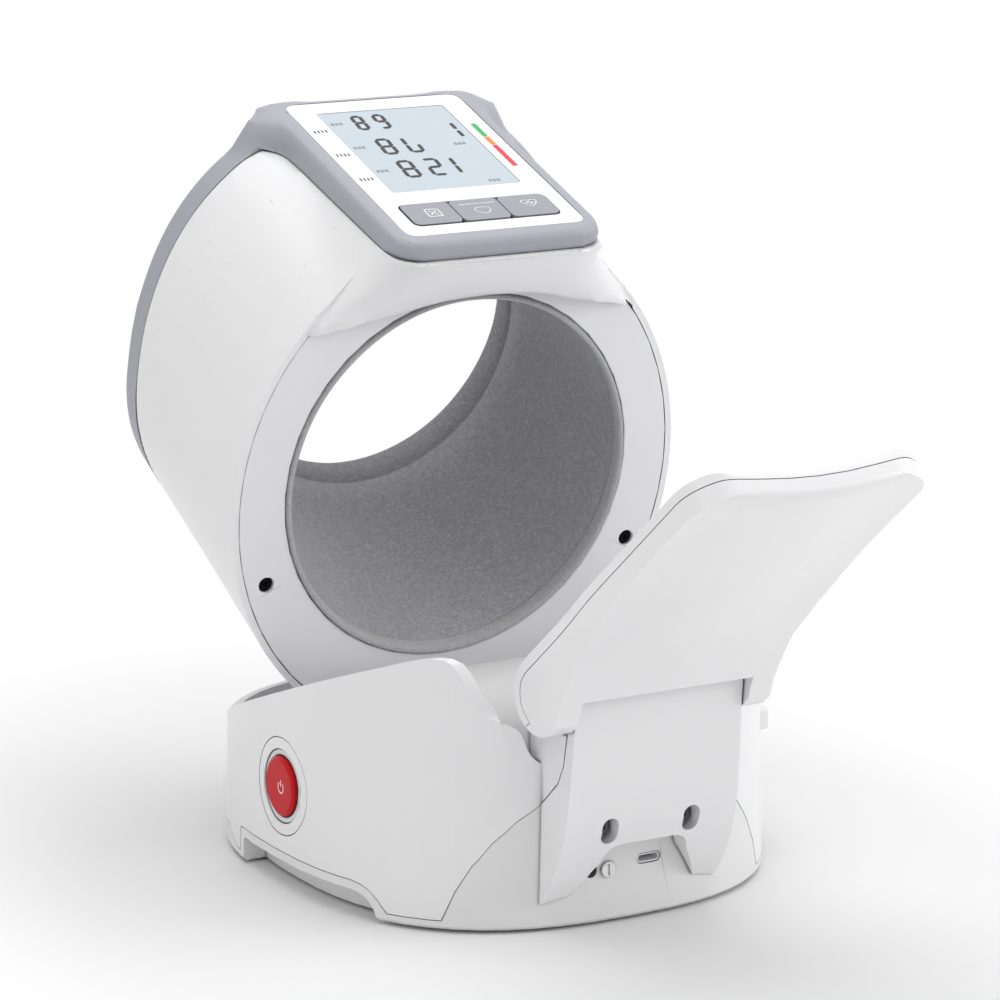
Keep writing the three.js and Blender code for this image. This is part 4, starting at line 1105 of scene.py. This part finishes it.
@dataclass
class DisplayHead:
    """The panel on the brow: pane, figures, colour scale and three keys with their signs.

    Attributes:
        shop: The workshop.
        rows: The three readings.
        pane_lift: The height of the figures over the panel's plane; they lie on the sunk pane.
        panel_lift: The height of the prints on the panel; they lie in its surface.
        key_lift: The height of the signs on the keys.
        slim_bars: Where the two slim segments beside the readings begin and end.
        slim_sides: Their two sides.
        slim_tips: Their pointed ends.
        slim_point: The length of a point.
        marks: The middles of the faint marks, each three small plates.
        bands: The parts of the colour scale: name, finish, begin and end.
        scale_sides: The two sides of the scale.
        ticks: The middles of the rows of ticks beside the pane.
        tick_left: Where these rows begin.
        key_signs: The middle of each key's sign.
        sign_line: The width of the signs' lines.
        card: Half the sides of the card.
        cross: Half the sides of the cross on it.
        drop: Half the width and height of the drop.
        pulse: The line in the heart.
        sign_steps: The number of parts of a round sign.
    """

    shop: Workshop
    rows: tuple[Row, ...] = (Row("128", (10.4, -0.5, -11.0), 47.5, 13.0, 6.4),
                             Row("78", (-0.6, -11.0), 64.9, 12.2, 6.1),
                             Row("68", (-3.6, -12.3), 83.65, 11.3, 5.0))
    pane_lift: float = -0.28
    panel_lift: float = -0.1
    key_lift: float = 0.27
    slim_bars: tuple[Spot, ...] = ((68.0, 72.7), (73.8, 78.6))
    slim_sides: Spot = (21.3, 22.8)
    slim_tips: Spot = (22.0, 22.1)
    slim_point: float = 0.5
    marks: tuple[Spot, ...] = ((-21.5, 84.0), (-21.5, 65.5), (-21.5, 47.5), (18.0, 63.0), (17.0, 34.6))
    bands: tuple[tuple[str, Finish, float, float], ...] = (("scale_high", Finish.RED, 43.2, 59.6),
                                                           ("scale_middle", Finish.AMBER, 60.0, 65.9),
                                                           ("scale_low", Finish.GREEN, 66.3, 76.6))
    scale_sides: Spot = (29.2, 31.3)
    ticks: tuple[float, ...] = (79.0, 60.8, 42.2)
    tick_left: float = -33.2
    key_signs: tuple[Spot, ...] = ((-18.5, 14.4), (0.8, 13.3), (20.7, 15.5))
    sign_line: float = 0.45
    card: Spot = (2.6, 2.5)
    cross: Spot = (1.4, 1.3)
    drop: Spot = (2.9, 2.2)
    pulse: tuple[Spot, ...] = ((-1.7, 0.2), (-0.6, 0.2), (-0.1, 1.3), (0.5, -0.9), (0.9, 0.2), (1.8, 0.2))
    sign_steps: int = 30

    def build(self) -> None:
        """Dresses the panel's nodes and prints on them."""
        for node, finish, edge in (("display_panel", Finish.PANEL, 0.25), ("lcd_window", Finish.SCREEN, 0.0),
                                   ("lcd_module", Finish.SCREEN, 0.0), ("display_board", Finish.BOARD, 0.0),
                                   ("key_1", Finish.KEYS, 0.3), ("key_2", Finish.KEYS, 0.3),
                                   ("key_3", Finish.KEYS, 0.3)):
            self.shop.dress(node, finish, edge)
        self.figures()
        self.scale()
        self.signs()

    def sheet(self, lift: float) -> Decals:
        """An empty sheet on the panel."""
        return Decals(self.shop.layout.on_display, lift)

    def figures(self) -> None:
        """The readings, upside down for a viewer at the elbow, and faint marks round them."""
        sheet = self.sheet(self.pane_lift)
        for row in self.rows:
            digit = Digit(row.height, row.width)
            for figure, x in zip(row.text, row.places):
                for bar in digit.bars(figure):
                    sheet.patch([(x - a, row.middle - b) for a, b in bar])
        left, right = self.slim_sides
        for begin, end in self.slim_bars:
            low, high = begin + self.slim_point, end - self.slim_point
            sheet.patch([(left, low), (self.slim_tips[0], begin), (right, low), (right, high),
                         (self.slim_tips[1], end), (left, high)])
        sheet.finish(self.shop, "display_figures", Finish.INK, "barrel")
        faint = self.sheet(self.pane_lift)
        for x, y in self.marks:
            faint.row(x - 2.4, y - 0.8, (1.1, 1.6), 1.7, 3)
        faint.finish(self.shop, "display_marks", Finish.PALE_INK, "barrel")

    def scale(self) -> None:
        """The colour scale beside the pane, with plain ticks on the other side."""
        left, right = self.scale_sides
        for name, finish, low, high in self.bands:
            band = self.sheet(self.panel_lift)
            band.patch([(left, low), (right, low), (right, high), (left, high)])
            band.finish(self.shop, name, finish, "barrel")
        ticks = self.sheet(self.panel_lift)
        for middle in self.ticks:
            ticks.row(self.tick_left, middle - 1.0, (0.6, 2.0), 1.5, 4)
        ticks.finish(self.shop, "panel_ticks", Finish.INK, "barrel")

    def signs(self) -> None:
        """Plain line signs on the keys."""
        for number, (draw, (x, y)) in enumerate(zip((self.draw_card, self.draw_drop, self.draw_heart),
                                                    self.key_signs), 1):
            sheet = self.sheet(self.key_lift)
            draw(sheet, x, y)
            sheet.finish(self.shop, f"key_sign_{number}", Finish.PRINT, f"key_{number}")

    def turns(self) -> list[float]:
        """The angles of the parts of a round sign."""
        return [2 * math.pi * i / self.sign_steps for i in range(self.sign_steps)]

    def draw_card(self, sheet: Decals, x: float, y: float) -> None:
        """Draws a card with a cross.

        Args:
            sheet: The sheet.
            x: The sign's place across the panel.
            y: Its place along the panel.
        """
        (a, b), (c, d) = self.card, self.cross
        sheet.stroke([(x - a, y - b), (x + a, y - b), (x + a, y + b), (x - a, y + b)], self.sign_line, closed=True)
        sheet.stroke([(x - c, y + d), (x + c, y - d)], self.sign_line)
        sheet.stroke([(x - c, y - d), (x + c, y + d)], self.sign_line)

    def draw_drop(self, sheet: Decals, x: float, y: float) -> None:
        """Draws a drop and a row of dots.

        Args:
            sheet: The sheet.
            x: The sign's place across the panel.
            y: Its place along the panel.
        """
        a, b = self.drop
        sheet.stroke([(x + a * math.sin(t) * (1 + 0.3 * math.cos(t)), y + b * math.cos(t)) for t in self.turns()],
                     self.sign_line, closed=True)
        sheet.row(x - 7.2, y + 4.6, (0.7, 0.6), 1.2, 12)

    def draw_heart(self, sheet: Decals, x: float, y: float) -> None:
        """Draws a heart with a pulse.

        Args:
            sheet: The sheet.
            x: The sign's place across the panel.
            y: Its place along the panel.
        """
        heart = [(x + 3.1 * math.sin(t) ** 3,
                  y + 2.3 * math.cos(t) - 0.85 * math.cos(2 * t) - 0.3 * math.cos(3 * t) + 0.3)
                 for t in self.turns()]
        sheet.stroke(heart, self.sign_line, closed=True)
        sheet.stroke([(x + a, y + b) for a, b in self.pulse], self.sign_line * 0.85)


@dataclass
class Cuff:
    """The barrel: white shell, grey rear cover and bezel, face ring and the fabric tunnel.

    Attributes:
        shop: The workshop.
        shell_turn: A rim of the shell turns by at least as much, in radians.
        sides: The number of sides of the liner.
        liner_thick: The liner's thickness in millimetres.
        clearance: The gap between the liner and the face ring.
        band: The width of the bound front edge.
        front_out: How far the rolled front edge stands out of the mouth.
        back_out: How far the rear edge stands out.
        binding_seam: The seam behind the bound edge, as ways behind it and shares of the thickness.
        rear_seam: The stitched groove near the rear, as ways from the rear end and shares.
        mean: The share of the thickness in the padded middle.
        swell: How far the padding swells there.
        swell_turn: The turn of that swell from one ring of corners to the next.
        wave: The height of the waves round the bore.
        waves: Their number.
        wave_lead: How far they turn with each millimetre along the axis.
        binding_rows: The rows of faces that the binding covers.
    """

    shop: Workshop
    shell_turn: float = math.radians(60)
    sides: int = 128
    liner_thick: float = 2.2
    clearance: float = 0.3
    band: float = 3.4
    front_out: float = 0.8
    back_out: float = 1.0
    binding_seam: tuple[Spot, ...] = ((0.0, 0.98), (0.4, 0.72), (0.9, 0.7), (1.5, 0.92))
    rear_seam: tuple[Spot, ...] = ((-10.0, 0.92), (-9.4, 0.55), (-8.2, 0.55), (-7.6, 0.98))
    mean: float = 0.94
    swell: float = 0.1
    swell_turn: float = 1.9
    wave: float = 0.05
    waves: int = 9
    wave_lead: float = 0.21
    binding_rows: range = range(3, 11)

    def build(self) -> None:
        """Dresses the nodes and makes the skins and the liner."""
        layout = self.shop.layout
        self.shop.smooth("barrel_shell", "barrel_housing", Finish.SHELL, "barrel", "gloss_white",
                         Smoother(2.2, 1.1, 100, turn=self.shell_turn, keeps=layout.on_skirt_rim))
        self.shop.smooth("rear_cover", "barrel_frame", Finish.TRIM, "barrel", "trim_grey",
                         Smoother(1.7, 0.9, 30, 3.0, melts=layout.on_frame_top))
        for node, finish, edge in (("face_ring", Finish.RING, 0.5), ("tilt_knuckle", Finish.TRAY, 0.4),
                                   ("air_bladder", Finish.RUBBER, 0.0), ("cuff_core", Finish.TRAY, 0.0),
                                   # Painted shade: the face screws get near-black steel to stand for the shade in
                                   # their holes.
                                   ("face_screw_left", Finish.STEEL_AS_HOLE_SHADE, 0.1),
                                   ("face_screw_right", Finish.STEEL_AS_HOLE_SHADE, 0.1)):
            self.shop.dress(node, finish, edge)
        self.liner()

    def profile(self) -> list[Spot]:
        """The liner's section, once round.

        Returns:
            Its corners as (way along the axis, depth into the bore).
        """
        thick, end = self.liner_thick, self.shop.layout.length
        half = thick * 0.5
        front = [(-self.front_out + half * (1 - math.sin(a)), half * (1 - math.cos(a)))
                 for a in (math.pi * i / 10 for i in range(11))]
        seam = [(self.band + way, thick * share) for way, share in self.binding_seam]
        first, span = seam[-1][0], end - 15 - self.band
        middle = [(first + span * i / 12, thick * self.mean + self.swell * math.sin(i * self.swell_turn))
                  for i in range(1, 12)]
        groove = [(end + way, thick * share) for way, share in self.rear_seam]
        back = [(end + self.back_out - half * (1 - math.sin(a)), half * (1 + math.cos(a)))
                for a in (math.pi * i / 6 for i in range(7))]
        return front + seam + middle + groove + back

    def liner(self) -> None:
        """A fabric sleeve with a rolled front edge and a stitched groove near the rear."""
        layout, ring = self.shop.layout, self.profile()
        narrowing = layout.rear_radius - layout.mouth_radius
        points: list[Vector] = []
        for along, depth in ring:
            radius = layout.mouth_radius + narrowing * along / layout.length
            height = self.wave if depth > 0.3 * self.liner_thick else 0.0
            for k in range(self.sides):
                a = 2 * math.pi * k / self.sides
                r = radius - self.clearance - depth - height * math.sin(a * self.waves + along * self.wave_lead)
                points.append(layout.in_face(along, r * math.cos(a), r * math.sin(a)))
        n, m = self.sides, len(ring)
        faces = [[i * n + k, i * n + (k + 1) % n, ((i + 1) % m) * n + (k + 1) % n, ((i + 1) % m) * n + k]
                 for i in range(m) for k in range(n)]
        liner = self.shop.piece("cuff_liner", points, faces, Finish.FELT, "barrel")
        liner.data.materials.append(self.shop.paints.of(Finish.BINDING))
        for polygon in liner.data.polygons:
            polygon.material_index = 1 if polygon.index // n in self.binding_rows else 0
        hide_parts("fabric_liner")


@dataclass
class BaseTub:
    """The base: cover, tray, feet, battery bay, start button, tilt release and sockets.

    Attributes:
        shop: The workshop.
        sign_lift: The height of the start sign over the button's face, in which it lies.
        sign_middle: How far its middle lies from the button's.
        sign_radius: The radius of its ring.
        sign_line: The width of its lines.
        sign_open: Where the ring begins and ends, in degrees.
        sign_bar: Where its bar begins and ends.
    """

    shop: Workshop
    sign_lift: float = -0.02
    sign_middle: float = 1.6
    sign_radius: float = 1.9
    sign_line: float = 0.42
    sign_open: Spot = (125.0, 415.0)
    sign_bar: Spot = (0.5, 2.6)

    def build(self) -> None:
        """Dresses the nodes and prints the start sign."""
        plain = [("base_cover", Finish.SHELL, 0.5), ("base_tray", Finish.TRAY, 0.4),
                 ("battery_door", Finish.TRAY, 0.3), ("start_bezel", Finish.SHELL, 0.3),
                 ("start_light_ring", Finish.LENS, 0.2), ("start_button", Finish.BUTTON, 0.4),
                 ("start_board", Finish.BOARD, 0.0), ("tilt_release", Finish.SHELL, 0.3),
                 ("tilt_shaft", Finish.STEEL, 0.2), ("power_socket", Finish.DARK, 0.1),
                 ("port_plug", Finish.SHELL, 0.2), ("usb_socket", Finish.SHELL, 0.1),
                 ("main_board", Finish.BOARD, 0.0), ("air_pump", Finish.DARK, 0.2),
                 ("exhaust_valve", Finish.DARK, 0.2), ("battery_contact_front", Finish.STEEL, 0.0),
                 ("battery_contact_rear", Finish.STEEL, 0.0), ("friction_washer_left", Finish.DARK, 0.0),
                 ("friction_washer_right", Finish.DARK, 0.0)]
        plain += [(f"foot_{i}", Finish.RUBBER, 0.2) for i in range(1, 5)]
        plain += [(f"base_screw_{i}", Finish.STEEL, 0.1) for i in range(1, 5)]
        plain += [(f"battery_cell_{i}", Finish.SLEEVE, 0.2) for i in range(1, 5)]
        for node, finish, edge in plain:
            self.shop.dress(node, finish, edge)
        self.start_sign()

    def start_sign(self) -> None:
        """A plain power sign on the red button."""
        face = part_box("start_button")[0][0]
        y0, z0 = self.shop.layout.start

        def on_button(a: float, b: float, out: float) -> Vector:
            """A point on the button's face."""
            spot = self.shop.layout.point(0, y0 - a, z0 + b)
            return Vector((face - out * MM, spot[1], spot[2]))

        sheet = Decals(on_button, self.sign_lift)
        sheet.ring((self.sign_middle, 0.0), self.sign_radius, self.sign_line, *self.sign_open)
        sheet.stroke([(self.sign_middle, b) for b in self.sign_bar], self.sign_line)
        sheet.finish(self.shop, "start_sign", Finish.PRINT, "start_button")


@dataclass
class ElbowRest:
    """The folding elbow rest and the bracket that carries it.

    Attributes:
        shop: The workshop.
    """

    shop: Workshop

    def build(self) -> None:
        """Dresses the nodes."""
        for node, finish, edge in (("rest_upper_shell", Finish.REST, 0.8), ("rest_lower_shell", Finish.REST, 0.8),
                                   ("rest_hinge_pin", Finish.STEEL, 0.1), ("bracket", Finish.SHELL, 0.5),
                                   # Painted shade: the bracket screws get steel darkened to stand for the shade in
                                   # their holes.
                                   ("bracket_screw_left", Finish.STEEL_AS_GREY_HOLE_SHADE, 0.1),
                                   ("bracket_screw_right", Finish.STEEL_AS_GREY_HOLE_SHADE, 0.1)):
            self.shop.dress(node, finish, edge)


@dataclass(frozen=True)
class Lamp:
    """A rectangular soft box.

    Attributes:
        name: Its name.
        spot: Its place in metres.
        aim: The point that it looks at.
        size: Its width and height in metres.
        power: Its power in watts.
    """

    name: str
    spot: Colour
    aim: Colour
    size: Spot
    power: float


@dataclass
class Studio:
    """Camera, soft boxes and a pale floor.

    Attributes:
        shop: The workshop.
        eye: The camera's place in millimetres from the middle of the base.
        right: Its direction to the right.
        up: Its direction up.
        lens: Its focal length in millimetres.
        film: The width of its sensor.
        clip: The nearest and farthest distance that it sees, in metres.
        boxes: A large box above, a little fill from the left and a key from the right.
        surround: The strength of the surround where it only gives light.
        floor_half: Half a side of the floor in metres.
        pool: The half axes of the ground shadow's oval in metres.
        pool_middle: How far behind the row frame's origin its middle lies.
        fade: Where the floor starts and ends to turn white, as squares of the way over the half axes.
        near_floor: The floor's colour as the camera sees it near the object.
        lit_floor: Its colour in the light that it gives back.
        lit_patch: The same in its darker patches.
        patch: The width of a patch in millimetres.
        patch_share: How strong the patches are.
        patch_tone: The share of the near colour in a patch.
    """

    shop: Workshop
    eye: tuple[float, float, float] = (-728.8, -1273.35, 456.7)
    right: tuple[float, float, float] = (0.8668, -0.4986, 0.0)
    up: tuple[float, float, float] = (0.1092, 0.1898, 0.9757)
    lens: float = 153.65
    film: float = 36.0
    clip: Spot = (0.05, 50.0)
    boxes: tuple[Lamp, ...] = (Lamp("top_box", (0.0, 0.15, 1.5), (0, 0, 0.1), (1.6, 1.4), 13.2),
                               Lamp("left_box", (-1.3, -0.5, 0.9), (0, 0, 0.12), (0.9, 1.1), 2.2),
                               Lamp("right_box", (1.4, -0.9, 0.7), (0, -0.1, 0.12), (0.9, 0.9), 10.7))
    surround: float = 0.55
    floor_half: float = 6.0
    pool: Spot = (0.125, 0.2)
    pool_middle: float = 0.02
    fade: Spot = (0.9, 3.2)
    near_floor: Colour = (0.91, 0.91, 0.91)
    lit_floor: Colour = (0.955, 0.955, 0.955)
    lit_patch: Colour = (0.945, 0.945, 0.95)
    patch: float = 300.0
    patch_share: float = 0.3
    patch_tone: float = 0.99

    def build(self) -> None:
        """Makes the camera, the lamps, the world and the floor."""
        self.camera()
        for box in self.boxes:
            self.lamp(box)
        self.world()
        self.floor()

    def camera(self) -> None:
        """The camera at the photograph's place."""
        right, up = Vector(self.right).normalized(), Vector(self.up).normalized()
        up = (up - right * up.dot(right)).normalized()
        back = right.cross(up)
        spot = self.shop.layout.point(*self.eye)
        made = bpy.data.objects.new("camera", bpy.data.cameras.new("camera"))
        made.data.lens = self.lens
        made.data.sensor_width = self.film
        made.data.clip_start, made.data.clip_end = self.clip
        made.matrix_world = Matrix.Translation(spot) @ Matrix((right, up, back)).transposed().to_4x4()
        bpy.context.scene.collection.objects.link(made)
        bpy.context.scene.camera = made

    def lamp(self, box: Lamp) -> None:
        """Makes a soft box.

        Args:
            box: Its place, aim, size and power.
        """
        light = bpy.data.lights.new(box.name, "AREA")
        light.shape, light.size, light.size_y, light.energy = "RECTANGLE", box.size[0], box.size[1], box.power
        made = bpy.data.objects.new(box.name, light)
        made.location = box.spot
        made.rotation_euler = (Vector(box.aim) - Vector(box.spot)).to_track_quat("-Z", "Y").to_euler()
        bpy.context.scene.collection.objects.link(made)

    def shown(self, g: Graph) -> Wire:
        """Which rays show the surround: those of the camera, of gloss and of glass.

        Args:
            g: The graph.

        Returns:
            1 for these rays, 0 for the others.
        """
        first, second, third = (g.node("ShaderNodeLightPath", {}, {}, f"Is {kind} Ray")
                                for kind in ("Camera", "Glossy", "Transmission"))
        return g.node("ShaderNodeMath", {"operation": "MAXIMUM"},
                      {0: first, 1: g.node("ShaderNodeMath", {"operation": "MAXIMUM"}, {0: second, 1: third})})

    def world(self) -> None:
        """An even surround that is seen as white."""
        world = bpy.data.worlds.new("surround")
        world.use_nodes = True
        g = Graph(world.node_tree)
        seen = self.shown(g)
        sockets = {"Color": (1.0, 1.0, 1.0, 1.0), "Strength": seen * (1.0 - self.surround) + self.surround}
        g.node("ShaderNodeOutputWorld", {}, {"Surface": g.node("ShaderNodeBackground", {}, sockets)})
        bpy.context.scene.world = world

    def patchy(self, g: Graph, tone: Colour, other: Colour) -> Wire:
        """A colour with large soft patches of another."""
        return g.blend(g.noise(self.patch, 2) * self.patch_share, linear(tone), linear(other))

    def floor(self) -> None:
        """A pale floor that keeps the shadow near the object and is seen as white further out."""
        mesh = bpy.data.meshes.new("floor")
        half = self.floor_half
        corners = [(-half, -half, 0), (half, -half, 0), (half, half, 0), (-half, half, 0)]
        mesh.from_pydata(corners, [], [(0, 1, 2, 3)])
        made = bpy.data.objects.new("floor", mesh)
        bpy.context.scene.collection.objects.link(made)
        g = Skin("studio_floor")
        x, y = (g.node("ShaderNodeSeparateXYZ", {}, {0: g.place()}, axis) for axis in "XY")
        x, y = x * (1 / self.pool[0]), (y - self.pool_middle) * (1 / self.pool[1])
        away = g.node("ShaderNodeMapRange", {"clamp": True, "interpolation_type": "SMOOTHSTEP"},
                      {"Value": x * x + y * y, "From Min": self.fade[0], "From Max": self.fade[1]})
        lit = self.patchy(g, self.lit_floor, self.lit_patch)
        near = self.patchy(g, self.near_floor, shaded(self.near_floor, self.patch_tone))
        white = g.node("ShaderNodeEmission", {}, {"Color": (1, 1, 1, 1), "Strength": 1.0})
        shadow = g.node("ShaderNodeBsdfDiffuse", {}, {"Color": near})
        looks = g.node("ShaderNodeMixShader", {}, {0: away, 1: shadow, 2: white})
        plain = g.node("ShaderNodeBsdfDiffuse", {}, {"Color": lit})
        shader = g.node("ShaderNodeMixShader", {}, {0: self.shown(g), 1: plain, 2: looks})
        made.data.materials.append(g.close(shader))


def set_view() -> None:
    """Plain colour management."""
    bpy.context.scene.view_settings.view_transform = "Standard"


def main() -> None:
    logging.basicConfig(level=logging.INFO, format="%(name)s: %(message)s")
    shop = Workshop(Layout(), Paints())
    for maker in (Studio(shop), BaseTub(shop), Cuff(shop), DisplayHead(shop), ElbowRest(shop)):
        maker.build()
    set_view()


if __name__ == "__main__":
    main()
